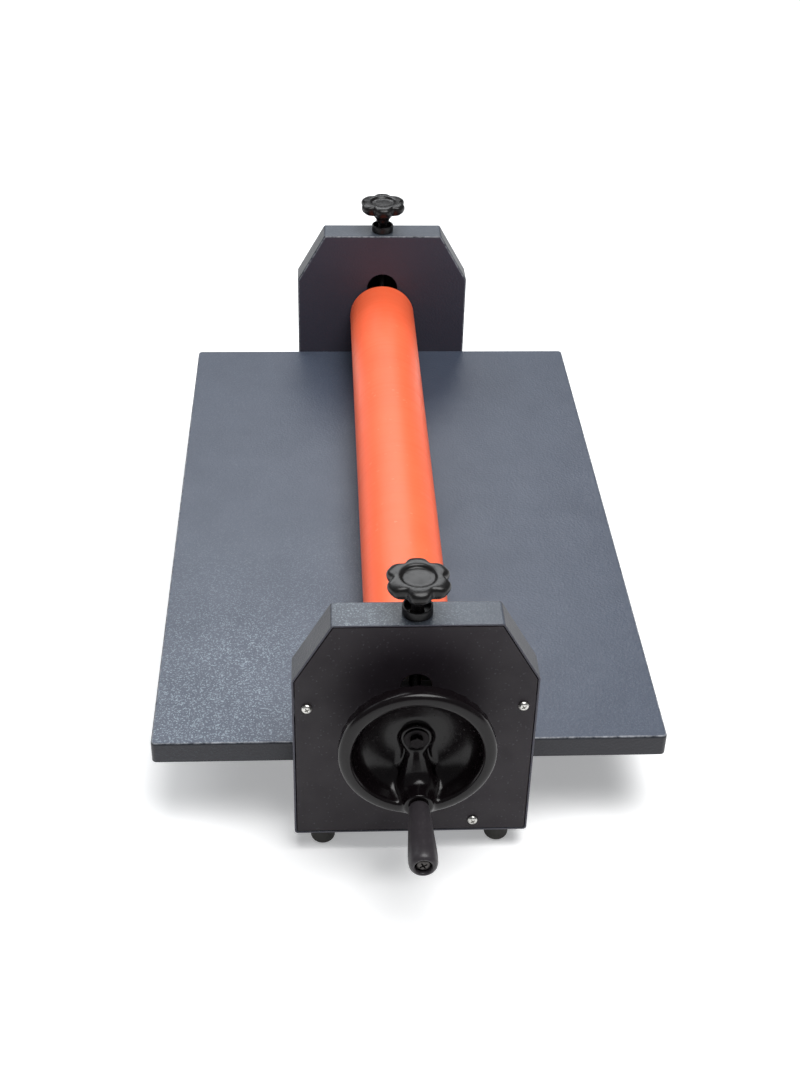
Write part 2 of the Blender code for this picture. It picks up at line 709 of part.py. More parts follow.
def roller_core(name, parent, radius, ends):
    """A welded steel tube with a journal at each end.

    ends is the outline of both journals, from far to near.
    """
    half = SLEEVE_LENGTH / 2 - GAP
    profile = [*ends["far"], (radius, half), (radius, -half), *ends["near"]]
    core = turned(name, STEEL, parent, profile, 24, ALONG["Y"])
    inside = half - TUBE_END
    cavity = cylinder(name + "_cavity", None, parent, radius - TUBE_WALL, -inside, inside, segments=24)
    vent_height = radius - TUBE_WALL - 0.005
    vent = cylinder(
        name + "_vent", None, parent, VENT_RADIUS, inside - 0.01, half + 0.002, "Y", (0, vent_height), 10
    )
    cut(cavity, vent, "UNION")
    return cut(core, cavity)


def lower_roller(machine):
    axle = station("lower_roller_axis", (0, 0, LOWER_AXIS), machine)
    end = PLATE + GAP + BLOCK_DEPTH + 0.002
    half = SLEEVE_LENGTH / 2 - GAP
    ends = {
        "far": [(0, end), (LOWER_JOURNAL - 0.0005, end), (LOWER_JOURNAL, end - 0.0005), (LOWER_JOURNAL, half)],
        "near": [
            (LOWER_JOURNAL, -half), (LOWER_JOURNAL, -end + 0.0005), (LOWER_JOURNAL - 0.0005, -end), (0, -end),
        ],
    }
    roller_core("lower_roller_core", axle, LOWER_RADIUS - SLEEVE_WALL - GAP, ends)
    sleeve("lower_roller_sleeve", RUBBER, axle, LOWER_RADIUS)


def upper_roller(carriage):
    half = SLEEVE_LENGTH / 2 - GAP
    bush_end = PLATE + GAP + BLOCK_DEPTH
    groove = bush_end + 0.0004
    groove_width = 0.0018
    far_end = groove + groove_width + 0.002
    groove_radius = UPPER_JOURNAL - 0.0015
    shoulder = OUTER + HUB_BACK - GAP
    near_end = OUTER + HUB_FRONT - GAP
    ends = {
        "far": [
            (0, far_end),
            (UPPER_JOURNAL - 0.001, far_end),
            (UPPER_JOURNAL, far_end - 0.001),
            (UPPER_JOURNAL, groove + groove_width),
            (groove_radius, groove + groove_width),
            (groove_radius, groove),
            (UPPER_JOURNAL, groove),
            (UPPER_JOURNAL, half),
        ],
        "near": [
            (UPPER_JOURNAL, -half),
            (UPPER_JOURNAL, -shoulder),
            (WHEEL_SHAFT, -shoulder),
            (WHEEL_SHAFT, -near_end + 0.0005),
            (WHEEL_SHAFT - 0.0005, -near_end),
            (0, -near_end),
        ],
    }
    shaft = roller_core("upper_roller_core", carriage, UPPER_RADIUS - SLEEVE_WALL - GAP, ends)
    sleeve("upper_roller_sleeve", SILICONE, carriage, UPPER_RADIUS)
    ring = [
        (groove_radius + GAP, groove_width / 2 - GAP),
        (UPPER_JOURNAL + 0.0045, groove_width / 2 - GAP),
        (UPPER_JOURNAL + 0.0045, -groove_width / 2 + GAP),
        (groove_radius + GAP, -groove_width / 2 + GAP),
    ]
    turned(
        "shaft_retaining_ring", STEEL, carriage, ring, 20, ALONG["Y"],
        (0, groove + groove_width / 2, 0), closed=True,
    )
    return shaft


def wheel_profile():
    """Half section of the dished wheel, from the hub's front round to its back.

    Its points are (radius, outward from the cover).
    """
    bore = WHEEL_SHAFT + GAP
    shoulder = 0.0045
    rim_front = WHEEL_FRONT - shoulder
    outer_shoulder = arc((WHEEL_RADIUS - shoulder, rim_front), shoulder, 90, 0, 3)
    inner_shoulder = arc((WHEEL_RADIUS - 0.0088, rim_front + 0.0022), 0.0022, 180, 90, 1)
    front = [(bore, HUB_FRONT), (0.0125, HUB_FRONT), (0.0140, 0.0155)]
    dish = [(0.024, 0.0158), (0.038, 0.0195), (0.0465, 0.0265)]
    back = [
        (WHEEL_RADIUS, 0.0310),
        (WHEEL_RADIUS - 0.0030, 0.0282),
        (0.0510, 0.0265),
        (0.0420, 0.0172),
        (0.0260, 0.0118),
        (0.0155, 0.0110),
        (0.0145, HUB_BACK),
        (bore, HUB_BACK),
    ]
    return front + dish + inner_shoulder + outer_shoulder + back


def handwheel(carriage):
    """The dished wheel, its boss for the handle and its fastenings. Its axis is the upper roller's."""
    here = station("handwheel_station", (0, -OUTER, 0), carriage)
    outward = Matrix.Rotation(pi / 2, 4, "X")
    wheel = turned("handwheel", BAKELITE, here, wheel_profile(), 36, outward, closed=True)
    handle_axis = (HANDLE_SIDE, -HANDLE_OFFSET)
    boss = cylinder(
        "handle_boss", None, here, BOSS_RADIUS, -BOSS_BACK, -BOSS_FRONT, "Y", handle_axis, 24
    )
    cut(wheel, boss, "UNION")
    rib_outline = [
        (-RIB_ROOT, -RIB_START),
        (HANDLE_SIDE - RIB_TIP, -HANDLE_OFFSET),
        (HANDLE_SIDE + RIB_TIP, -HANDLE_OFFSET),
        (RIB_ROOT, -RIB_START),
    ]
    cut(wheel, prism("handle_rib", None, here, rib_outline, -RIB_BACK, -RIB_FRONT), "UNION")
    cut(wheel, cylinder("rebore", None, here, WHEEL_SHAFT + GAP, 0.005, -0.03, segments=36))
    spindle_hole = cylinder(
        "spindle_hole", None, here, SPINDLE_RADIUS + GAP, -0.005, -0.060, "Y", handle_axis, 16
    )
    cut(wheel, spindle_hole)
    recess = SPINDLE_NUT_RADIUS + 0.001
    cut(wheel, cylinder("nut_recess", None, here, recess, 0, -BOSS_BACK, "Y", handle_axis, 20))

    pin_cutter = cylinder("pin_hole", None, here, PIN_RADIUS + GAP, -0.020, 0.020, "X", (-PIN_OUT, 0), 12)
    cut(wheel, pin_cutter)
    cut(bpy.data.objects["upper_roller_core"], pin_cutter)
    cylinder("hub_drive_pin", STEEL, here, PIN_RADIUS, -PIN_HALF, PIN_HALF, "X", (-PIN_OUT, 0), 12)

    washer_back = HUB_FRONT + GAP
    washer_front = washer_back + WASHER_THICKNESS
    tapping = HUB_SCREW_RADIUS + 0.0004
    washer = [
        (tapping, washer_front),
        (WASHER_RADIUS, washer_front),
        (WASHER_RADIUS, washer_back),
        (tapping, washer_back),
    ]
    turned("hub_washer", ZINC, here, washer, 20, outward, closed=True)
    head_back = washer_front + GAP
    head_front = head_back + HUB_HEAD_HEIGHT
    screw_end = HUB_FRONT - HUB_SCREW_LENGTH
    bolt = [
        (0, head_front),
        (HUB_HEAD_RADIUS - 0.0007, head_front),
        (HUB_HEAD_RADIUS, head_front - 0.0007),
        (HUB_HEAD_RADIUS, head_back),
        (HUB_SCREW_RADIUS, head_back),
        (HUB_SCREW_RADIUS, screw_end),
        (0, screw_end),
    ]
    turned("hub_screw", ZINC, here, bolt, 6, outward)
    tapped = cylinder("shaft_tapping", None, here, tapping, -HUB_FRONT - 0.005, 0.001 - screw_end, segments=16)
    cut(bpy.data.objects["upper_roller_core"], tapped)

    crank = station("handle_station", (HANDLE_SIDE, 0, -HANDLE_OFFSET), here)
    spindle_top = HANDLE_END - SPINDLE_HEAD_DEPTH
    spindle_seat = spindle_top - SPINDLE_HEAD_HEIGHT
    nut_height = 0.0042
    spindle_end = BOSS_BACK - nut_height - 0.002
    spindle = [
        (0, spindle_top),
        (SPINDLE_HEAD_RADIUS, spindle_top),
        (SPINDLE_HEAD_RADIUS, spindle_seat),
        (SPINDLE_RADIUS, spindle_seat),
        (SPINDLE_RADIUS, spindle_end),
        (0, spindle_end),
    ]
    turned("handle_spindle", ZINC, crank, spindle, 20, outward)
    nut_front = GAP - BOSS_BACK
    nut = cylinder("spindle_nut", ZINC, crank, SPINDLE_NUT_RADIUS, nut_front, nut_front + nut_height, segments=6)
    cut(nut, cylinder("spindle_nut_bore", None, crank, SPINDLE_RADIUS + GAP, 0, -BOSS_FRONT, segments=20))

    bore = SPINDLE_RADIUS + GAP
    counterbore = SPINDLE_HEAD_RADIUS + 0.0004
    floor = spindle_seat - GAP
    grip = [
        (bore, floor),
        (counterbore, floor),
        (counterbore, HANDLE_END),
        (0.0080, HANDLE_END),
        (0.0100, HANDLE_END - 0.0014),
        (0.0111, HANDLE_END - 0.0045),
        (0.0113, HANDLE_END - 0.0100),
        (0.0104, HANDLE_END - 0.0320),
        (0.0092, HANDLE_ROOT + 0.0050),
        (0.0086, HANDLE_ROOT + 0.0010),
        (0.0080, HANDLE_ROOT),
        (bore, HANDLE_ROOT),
    ]
    turned("handle_grip", BAKELITE, crank, grip, 20, outward, closed=True)


# ---------------------------------------------------------------- the whole machine
def laminator():
    machine = station("machine", (0, MACHINE_Y, 0))
    for side in SIDES:
        side_frame(side, machine)
        cover(side, machine)
        guides(side, machine)
        lower_housing(side, machine)
        lift_hardware(side, machine)
        lift_spring(side, machine)
        for hand in (-1, 1):
            foot(side, hand, machine)
    for hand in (-1, 1):
        table(hand, machine)
        tie_bar(hand, machine)
    lower_roller(machine)
    carriage = station("carriage", (0, 0, UPPER_AXIS), machine)
    for side in SIDES:
        bearing_block(side, carriage)
        knob(side, carriage)
    upper_roller(carriage)
    handwheel(carriage)


laminator()
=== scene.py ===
"""Looks for the cold roll laminator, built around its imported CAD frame.

X is the feed direction, Y runs along the rollers with the handwheel at -Y, and Z is up. Units are metres.
"""

from math import cos, pi, radians, sin

import bmesh
import bpy
import numpy as np
from mathutils import Matrix, Vector

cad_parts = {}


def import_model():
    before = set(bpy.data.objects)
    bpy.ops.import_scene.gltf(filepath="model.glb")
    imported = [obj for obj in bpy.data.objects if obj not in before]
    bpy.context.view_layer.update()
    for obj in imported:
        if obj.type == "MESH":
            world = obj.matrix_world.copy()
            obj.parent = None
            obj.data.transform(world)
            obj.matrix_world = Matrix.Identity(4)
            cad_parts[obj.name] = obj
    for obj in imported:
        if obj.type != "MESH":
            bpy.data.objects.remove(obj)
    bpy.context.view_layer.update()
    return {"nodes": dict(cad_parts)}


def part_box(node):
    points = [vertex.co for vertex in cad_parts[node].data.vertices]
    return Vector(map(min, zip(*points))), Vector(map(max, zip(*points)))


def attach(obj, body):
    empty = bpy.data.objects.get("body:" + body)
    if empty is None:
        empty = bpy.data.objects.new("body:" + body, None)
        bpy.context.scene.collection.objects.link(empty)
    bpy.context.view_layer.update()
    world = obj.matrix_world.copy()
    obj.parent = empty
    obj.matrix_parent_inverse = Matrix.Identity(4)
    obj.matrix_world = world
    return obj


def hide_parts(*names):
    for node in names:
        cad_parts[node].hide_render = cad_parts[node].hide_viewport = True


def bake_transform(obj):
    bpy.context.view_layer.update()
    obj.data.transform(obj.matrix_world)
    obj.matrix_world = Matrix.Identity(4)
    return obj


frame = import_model()


# ------------------------ the machine's places, read from the frame
def middle(node):
    """The middle of a CAD node's box."""
    low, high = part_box(node)
    return (low + high) / 2


SIDES = {"near": -1, "far": 1}
near_low, near_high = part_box("near_side_frame")
far_low, far_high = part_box("far_side_frame")
MID_Y = (near_high.y + far_low.y) / 2
INNER = (far_low.y - near_high.y) / 2  # from mid-length to the inner face of a side frame
DEPTH = far_high.y - far_low.y  # of a side frame
OUTER = INNER + DEPTH
MID_BOX = INNER + DEPTH / 2
BOTTOM = near_low.z
TOP = near_high.z
HALF = near_high.x
UPPER = middle("upper_roller_sleeve")
LOWER = middle("lower_roller_sleeve")
HANDLE_AXIS = middle("handle_grip")
TABLE_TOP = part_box("infeed_table")[1].z
NEAR_FACE = near_high.y  # the near side box's inner face
COVER_FACE = MID_Y - OUTER  # the near cover's outer face

SHEET = 0.0015  # thickness of the folded steel
GAP = 0.0003  # clearance between pieces that touch
TOP_HALF = 0.0645  # half width of a side box along its top
SHOULDER = 0.1615  # height on a side box where its chamfer starts
SEAM = 0.0007  # between a cover and the flanges round it
BEND = 0.0024  # outside radius of a folded edge
INNER_SLOT = (0.0170, UPPER.z - 0.0074, 0.1715)  # half width, then the centres of its round ends
COVER_SLOT = (0.0124, UPPER.z - 0.0071, 0.1749)
COVER_SCREWS = {"left": (-0.0837, 0.135), "right": (0.0837, 0.135), "bottom": (0.050, 0.0125)}
TABLE_SCREW = (0.062, TABLE_TOP - 0.010)
TIE_BAR = (0.075, 0.049)
FOOT_X = 0.072
TAB_HALF = 0.009  # half width of the tabs behind a cover
HOLE = {"screw": 0.0023, "tie": 0.0043, "stem": 0.005, "pressure_screw": 0.0058, "journal": 0.009}  # radii


# ------------------------ materials
class Shader:
    """A node material with its Principled shader, and short ways to add nodes to it."""

    def __init__(self, name, roughness, metallic=0.0, **sockets):
        self.material = bpy.data.materials.new(name)
        self.material.use_nodes = True
        self.tree = self.material.node_tree
        self.main = self.tree.nodes["Principled BSDF"]
        self.main.inputs["Roughness"].default_value = roughness
        self.main.inputs["Metallic"].default_value = metallic
        for socket, value in sockets.items():
            self.main.inputs[socket.replace("_", " ")].default_value = value
        self.place = self.node("ShaderNodeTexCoord").outputs["Object"]

    def node(self, kind, **settings):
        made = self.tree.nodes.new(kind)
        for key, value in settings.items():
            setattr(made, key, value)
        return made

    def feed(self, socket, value):
        if isinstance(value, bpy.types.NodeSocket):
            self.tree.links.new(value, socket)
        else:
            socket.default_value = value

    def noise(self, scale, detail=2.0, rough=0.5, stretch=None):
        made = self.node("ShaderNodeTexNoise")
        self.feed(made.inputs["Vector"], self.scaled(stretch) if stretch else self.place)
        made.inputs["Scale"].default_value = scale
        made.inputs["Detail"].default_value = detail
        made.inputs["Roughness"].default_value = rough
        return made.outputs["Fac"]

    def scaled(self, stretch):
        made = self.node("ShaderNodeMapping")
        self.feed(made.inputs["Vector"], self.place)
        made.inputs["Scale"].default_value = stretch
        return made.outputs["Vector"]

    def cells(self, scale, output="Color", **settings):
        made = self.node("ShaderNodeTexVoronoi", **settings)
        self.feed(made.inputs["Vector"], self.place)
        made.inputs["Scale"].default_value = scale
        return made.outputs[output]

    def remap(self, value, low, high, to_low=0.0, to_high=1.0):
        made = self.node("ShaderNodeMapRange")
        self.feed(made.inputs["Value"], value)
        sockets = ("From Min", "From Max", "To Min", "To Max")
        for socket, number in zip(sockets, (low, high, to_low, to_high)):
            made.inputs[socket].default_value = number
        return made.outputs["Result"]

    def maths(self, operation, first, second=0.0):
        made = self.node("ShaderNodeMath", operation=operation)
        self.feed(made.inputs[0], first)
        self.feed(made.inputs[1], second)
        return made.outputs[0]

    def split(self, vector, output):
        made = self.node("ShaderNodeSeparateXYZ")
        self.feed(made.inputs[0], vector)
        return made.outputs[output]

    def mix(self, share, first, second):
        made = self.node("ShaderNodeMix", data_type="RGBA")
        self.feed(made.inputs[0], share)
        self.feed(made.inputs[6], first if isinstance(first, bpy.types.NodeSocket) else (*first, 1))
        self.feed(made.inputs[7], second if isinstance(second, bpy.types.NodeSocket) else (*second, 1))
        return made.outputs[2]

    def bump(self, height, distance, strength=1.0, under=None):
        made = self.node("ShaderNodeBump")
        made.inputs["Distance"].default_value = distance
        made.inputs["Strength"].default_value = strength
        self.feed(made.inputs["Height"], height)
        if under:
            self.feed(made.inputs["Normal"], under)
        return made.outputs["Normal"]

    def finish(self, colour, roughness=None, normal=None, metallic=None):
        self.feed(self.main.inputs["Base Color"], colour)
        for socket, value in (("Roughness", roughness), ("Normal", normal), ("Metallic", metallic)):
            if value is not None:
                self.feed(self.main.inputs[socket], value)
        return self.material


def hammered(name, base, shaded, fleck, bend_axis, amount):
    """Blue-grey powder coat: pebbled, with painted shade on upright and slanted faces, and lighter at the
    folds, partly rubbed paint and partly painted highlight.

    Its flecks are painted stronger towards the near end of the infeed side, as painted glints where the
    light catches them.
    """
    slant_shade_colour = (0.010, 0.013, 0.019)
    wear_and_highlight_tone = (0.42, 0.44, 0.48)
    coat = Shader(name, 0.45, 0.2, Specular_IOR_Level=0.35)
    pebbles = coat.cells(480.0, "Distance", feature="SMOOTH_F1")
    grain = coat.noise(1500.0, 2.0)
    height = coat.maths("ADD", pebbles, coat.maths("MULTIPLY", grain, 0.5))
    chance = coat.split(coat.cells(1080.0), "X")
    fleck_and_glint = coat.remap(chance, 0.68, 1.0)
    patches = coat.remap(coat.noise(5.0, 2.0), 0.38, 0.68, amount * 0.5, amount)
    # painted glints: the flecks are strengthened towards the near end and the infeed side, where the light
    # catches them most
    lengthwise = coat.remap(coat.split(coat.place, "Y"), 0.06, NEAR_FACE, 0.15, 1.0)
    crosswise = coat.remap(coat.split(coat.place, "X"), 0.06, -0.13, 0.20, 1.7)
    painted_glint_spread = coat.maths("MULTIPLY", lengthwise, crosswise)
    fleck_and_glint = coat.maths("MULTIPLY", fleck_and_glint, coat.maths("MULTIPLY", patches, painted_glint_spread))
    mottle = coat.remap(coat.noise(26.0, 4.0, 0.6), 0.25, 0.75)
    dark = tuple(v * 0.94 for v in base)
    light = tuple(v * 1.06 for v in base)
    colour = coat.mix(mottle, dark, light)
    colour = coat.mix(coat.maths("MULTIPLY", fleck_and_glint, 0.75), colour, fleck)
    facing = coat.node("ShaderNodeTexCoord").outputs["Normal"]
    rise = coat.split(facing, "Z")
    # painted shade: faces that do not face up are mixed towards the shaded colour
    colour = coat.mix(coat.remap(rise, 0.60, 0.96, 0.85, 0.0), colour, shaded)
    # painted shade: slanted faces, such as the chamfers, are darkened further
    slant_shade_mask = coat.maths("MULTIPLY", coat.remap(rise, 0.20, 0.40), coat.remap(rise, 0.85, 0.65))
    colour = coat.mix(coat.maths("MULTIPLY", slant_shade_mask, 0.85), colour, slant_shade_colour)
    # lighter along the folds: partly rubbed paint, partly a painted highlight along the bend
    lean = coat.maths("ABSOLUTE", coat.split(facing, bend_axis))
    fold = coat.maths("MULTIPLY", coat.remap(lean, 0.45, 0.70), coat.remap(lean, 0.985, 0.90))
    wear_and_highlight = coat.maths("MULTIPLY", fold, coat.remap(coat.noise(190.0, 4.0, 0.65), 0.36, 0.62))
    colour = coat.mix(coat.maths("MULTIPLY", wear_and_highlight, 0.42), colour, wear_and_highlight_tone)
    dull = coat.remap(mottle, 0.0, 1.0, 0.43, 0.37)
    roughness = coat.maths("SUBTRACT", dull, coat.maths("MULTIPLY", fleck_and_glint, 0.12))
    metallic = coat.remap(fleck_and_glint, 0.0, 1.0, 0.0, 0.70)
    normal = coat.bump(height, 0.00028, 0.60)
    return coat.finish(colour, roughness, normal, metallic)


def painted_dark():
    """Charcoal powder coat with a faint purple cast, finely textured, with a few pale specks."""
    coat = Shader("dark_cover_paint", 0.5, 0.0, Specular_IOR_Level=0.25)
    fine = coat.noise(1100.0, 3.0, 0.6)
    broad = coat.remap(coat.noise(7.0, 3.0, 0.55), 0.3, 0.7)
    colour = coat.mix(broad, (0.0135, 0.0100, 0.0135), (0.0185, 0.0140, 0.0185))
    speck = coat.remap(coat.split(coat.cells(900.0), "Y"), 0.970, 1.0, 0.0, 0.18)
    colour = coat.mix(speck, colour, (0.12, 0.12, 0.14))
    roughness = coat.remap(coat.noise(60.0, 4.0), 0.3, 0.7, 0.42, 0.58)
    return coat.finish(colour, roughness, coat.bump(fine, 0.00012, 0.45))


def silicone():
    """Orange silicone: smooth, a little cloudy, with dust and the faint ring marks of use."""
    depth = {"Subsurface_Weight": 0.12, "Subsurface_Scale": 0.004}
    skin = Shader("silicone_skin", 0.42, 0.0, Specular_IOR_Level=0.30, **depth)
    skin.main.inputs["Subsurface Radius"].default_value = (1.0, 0.35, 0.2)
    cloud = skin.remap(skin.noise(18.0, 4.0, 0.55), 0.3, 0.7)
    rings = skin.noise(1.0, 3.0, 0.6, (6.0, 150.0, 6.0))
    colour = skin.mix(cloud, (0.88, 0.128, 0.048), (0.93, 0.148, 0.058))
    colour = skin.mix(skin.remap(rings, 0.55, 0.80, 0.0, 0.20), colour, (0.72, 0.105, 0.040))
    dust = skin.remap(skin.split(skin.cells(420.0), "Z"), 0.985, 1.0, 0.0, 0.16)
    colour = skin.mix(dust, colour, (0.95, 0.42, 0.28))
    dull = skin.remap(rings, 0.3, 0.7, 0.36, 0.46)
    roughness = skin.maths("ADD", dull, skin.maths("MULTIPLY", cloud, 0.05))
    grain = skin.noise(700.0, 3.0, 0.6)
    return skin.finish(colour, roughness, skin.bump(grain, 0.00005, 0.35))


def rubber(name, base, turned_marks):
    """Black rubber. turned_marks gives the ground rings of a roller."""
    skin = Shader(name, 0.75, 0.0, Specular_IOR_Level=0.35)
    stretch = (4.0, 900.0, 4.0) if turned_marks else (500.0, 500.0, 500.0)
    marks = skin.noise(1.0, 3.0, 0.6, stretch)
    bloom = skin.remap(skin.noise(35.0, 4.0), 0.35, 0.75)
    colour = skin.mix(bloom, base, tuple(v * 1.9 for v in base))
    roughness = skin.remap(bloom, 0.0, 1.0, 0.62, 0.82)
    return skin.finish(colour, roughness, skin.bump(marks, 0.00008, 0.5))


def phenolic(name, base, gloss, peel, dusty, shine=0.30):
    """Moulded black phenolic: glossy, with a slight flow ripple, fine scuffs and specks of dust."""
    plastic = Shader(name, gloss, 0.0, Specular_IOR_Level=shine)
    ripple = plastic.noise(70.0, 2.0)
    scuff = plastic.remap(plastic.noise(260.0, 5.0, 0.7), 0.52, 0.75)
    dust = plastic.remap(plastic.split(plastic.cells(900.0), "X"), 0.985, 1.0, 0.0, dusty)
    colour = plastic.mix(scuff, base, tuple(v * 1.4 for v in base))
    colour = plastic.mix(dust, colour, (0.08, 0.075, 0.075))
    roughness = plastic.maths("ADD", plastic.remap(scuff, 0.0, 1.0, gloss, gloss + 0.16), dust)
    fine = plastic.bump(plastic.noise(900.0, 2.0), 0.00004, peel)
    return plastic.finish(colour, roughness, plastic.bump(ripple, 0.0004, 0.10, fine))


def nylon():
    """Moulded black nylon with the dull grain of its mould."""
    plastic = Shader("moulded_nylon", 0.5, 0.0, Specular_IOR_Level=0.3)
    grain = plastic.noise(650.0, 3.0, 0.65)
    colour = plastic.mix(plastic.remap(grain, 0.3, 0.7), (0.007, 0.007, 0.0075), (0.012, 0.012, 0.013))
    roughness = plastic.remap(plastic.noise(90.0, 4.0), 0.3, 0.7, 0.38, 0.56)
    return plastic.finish(colour, roughness, plastic.bump(grain, 0.00010, 0.4))


def metal(name, base, dull, shine, stretch, blotch=0.25):
    """Turned, drawn or plated metal. stretch lays its fine lines along or round the piece."""
    bar = Shader(name, dull, 1.0)
    lines = bar.noise(1.0, 3.0, 0.6, stretch)
    stain = bar.remap(bar.noise(55.0, 4.0, 0.6), 0.40, 0.72, 0.0, blotch)
    colour = bar.mix(bar.remap(lines, 0.3, 0.7), tuple(v * 0.85 for v in base), base)
    colour = bar.mix(stain, colour, tuple(v * 0.45 for v in base))
    roughness = bar.maths("ADD", bar.remap(lines, 0.3, 0.7, shine, dull), bar.maths("MULTIPLY", stain, 0.5))
    return bar.finish(colour, roughness, bar.bump(lines, 0.00003, 0.4))


# The second colour of each paint is the painted shade of its upright faces.
TABLE_PAINT = hammered(
    "hammered_paint_table", (0.050, 0.062, 0.090), (0.008, 0.006, 0.008), (0.34, 0.41, 0.45), "Z", 0.55
)
FRAME_PAINT = hammered(
    "hammered_paint_frame", (0.060, 0.070, 0.088), (0.040, 0.036, 0.053), (0.36, 0.43, 0.45), "Y", 0.60
)
COVER_PAINT = painted_dark()
SILICONE = silicone()
ROLL_RUBBER = rubber("roller_rubber", (0.012, 0.012, 0.012), True)
FOOT_RUBBER = rubber("foot_rubber", (0.014, 0.013, 0.012), False)
WHEEL_BLACK = phenolic("phenolic_wheel", (0.0042, 0.0030, 0.0036), 0.19, 0.06, 0.02, 0.25)
KNOB_BLACK = phenolic("phenolic_knob", (0.0065, 0.0060, 0.0062), 0.31, 0.30, 0.12)
GRIP_BLACK = phenolic("phenolic_grip", (0.0290, 0.0255, 0.0290), 0.36, 0.35, 0.12)
NYLON = nylon()
STEEL = metal("turned_steel", (0.56, 0.56, 0.57), 0.40, 0.22, (60.0, 1400.0, 60.0))
DRAWN_STEEL = metal("drawn_steel", (0.50, 0.50, 0.51), 0.42, 0.26, (900.0, 900.0, 25.0), 0.35)
SPRING_STEEL = metal("spring_steel", (0.34, 0.34, 0.36), 0.42, 0.26, (400.0, 400.0, 400.0))
DARK_STEEL = metal("blackened_steel", (0.026, 0.024, 0.025), 0.50, 0.30, (500.0, 500.0, 500.0))
HEAD_STEEL = metal("worn_black_steel", (0.075, 0.070, 0.068), 0.42, 0.24, (500.0, 500.0, 500.0))
ZINC = metal("zinc_plate", (0.66, 0.65, 0.62), 0.34, 0.18, (450.0, 450.0, 450.0))
BRONZE = metal("sintered_bronze", (0.46, 0.30, 0.14), 0.55, 0.35, (700.0, 700.0, 700.0))


# ------------------------ making and dressing pieces
def add(name, bm, sharp=32):
    """Turns a bmesh into an object of the scene."""
    bmesh.ops.recalc_face_normals(bm, faces=bm.faces)
    mesh = bpy.data.meshes.new(name)
    bm.to_mesh(mesh)
    bm.free()
    item = bpy.data.objects.new(name, mesh)
    bpy.context.scene.collection.objects.link(item)
    return shade(item, sharp)


def shade(item, sharp=32, weighted=False):
    item.data.shade_smooth()
    item.data.set_sharp_from_angle(angle=radians(sharp))
    if weighted:
        normals = item.modifiers.new("flat_faces", "WEIGHTED_NORMAL")
        normals.keep_sharp = True
        normals.weight = 80
    return item


def dress(item, body, node, material):
    """Rides the piece on its body in place of its CAD node, and gives it its finish."""
    item.data.materials.clear()
    item.data.materials.append(material)
    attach(item, body)
    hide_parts(node)
    return item


def settle(item):
    """Makes the piece's modifiers part of its mesh."""
    graph = bpy.context.evaluated_depsgraph_get()
    done = bpy.data.meshes.new_from_object(item.evaluated_get(graph), depsgraph=graph)
    old = item.data
    item.modifiers.clear()
    item.data = done
    bpy.data.meshes.remove(old)
    return item


def carve(item, cutters, operation="DIFFERENCE"):
    for cutter in cutters:
        boolean = item.modifiers.new(cutter.name, "BOOLEAN")
        boolean.operation = operation
        boolean.solver = "EXACT"
        boolean.object = cutter
    settle(item)
    for cutter in cutters:
        bpy.data.objects.remove(cutter)
    return item


def bridge(bm, rings, closed=True):
    """Faces between rings of points, each the same length. A ring of one point is a pole."""
    made = [[bm.verts.new(point) for point in ring] for ring in rings]
    for low, high in zip(made, made[1:]):
        count = max(len(low), len(high))
        for i in range(count if closed else count - 1):
            j = (i + 1) % count
            corners = [low[i % len(low)], low[j % len(low)], high[j % len(high)], high[i % len(high)]]
            corners = [vert for k, vert in enumerate(corners) if vert not in corners[:k]]
            bm.faces.new(corners)
    return made


ALONG = {
    "Z": Matrix.Identity(3),
    "-Y": Matrix.Rotation(pi / 2, 3, "X"),
    "Y": Matrix.Rotation(-pi / 2, 3, "X"),
}


def around(steps):
    """Angles evenly round a full turn."""
    return [2 * pi * i / steps for i in range(steps)]


def lathe(name, profile, centre, axis="Z", steps=64, closed=False, sharp=32):
    """A turned piece. profile is (radius, height) pairs; closed joins its last pair to its first."""
    rings = []
    for radius, height in profile:
        turns = around(steps if radius else 1)
        rings.append([Vector((radius * cos(t), radius * sin(t), height)) for t in turns])
    turn = ALONG[axis]
    centre = Vector(centre)
    rings = [[centre + turn @ point for point in ring] for ring in rings]
    bm = bmesh.new()
    made = bridge(bm, rings)
    if closed:
        for i in range(steps):
            j = (i + 1) % steps
            bm.faces.new([made[-1][i], made[-1][j], made[0][j], made[0][i]])
    return add(name, bm, sharp)


def bead(centre, radius, start, end, steps=5):
    """Points of an arc in a profile, angles in degrees."""
    turns = [radians(start + (end - start) * i / steps) for i in range(steps + 1)]
    return [(centre[0] + radius * cos(t), centre[1] + radius * sin(t)) for t in turns]


def prism(name, outline, start, end):
    """An (x, z) outline drawn out along Y."""
    bm = bmesh.new()
    rings = bridge(bm, [[(x, y, z) for x, z in outline] for y in (start, end)])
    for ring in rings:
        bm.faces.new(ring)
    return add(name, bm)


def block(name, low, high):
    outline = [(low[0], low[2]), (high[0], low[2]), (high[0], high[2]), (low[0], high[2])]
    return prism(name, outline, low[1], high[1])


def slot_cutter(name, shape, y, steps=24, reach=0.006):
    """A cutter for an upright slot with round ends, reaching both ways from y."""
    half, low, high = shape
    outline = bead((0, low), half, 180, 360, steps) + bead((0, high), half, 0, 180, steps)
    return prism(name, outline, y - reach, y + reach)


def drill(radius, centre, axis="Y", reach=0.004):
    """A cutter for a round hole, reaching both ways from its centre."""
    return lathe("drill", [(0, -reach), (radius, -reach), (radius, reach), (0, reach)], centre, axis, 32)


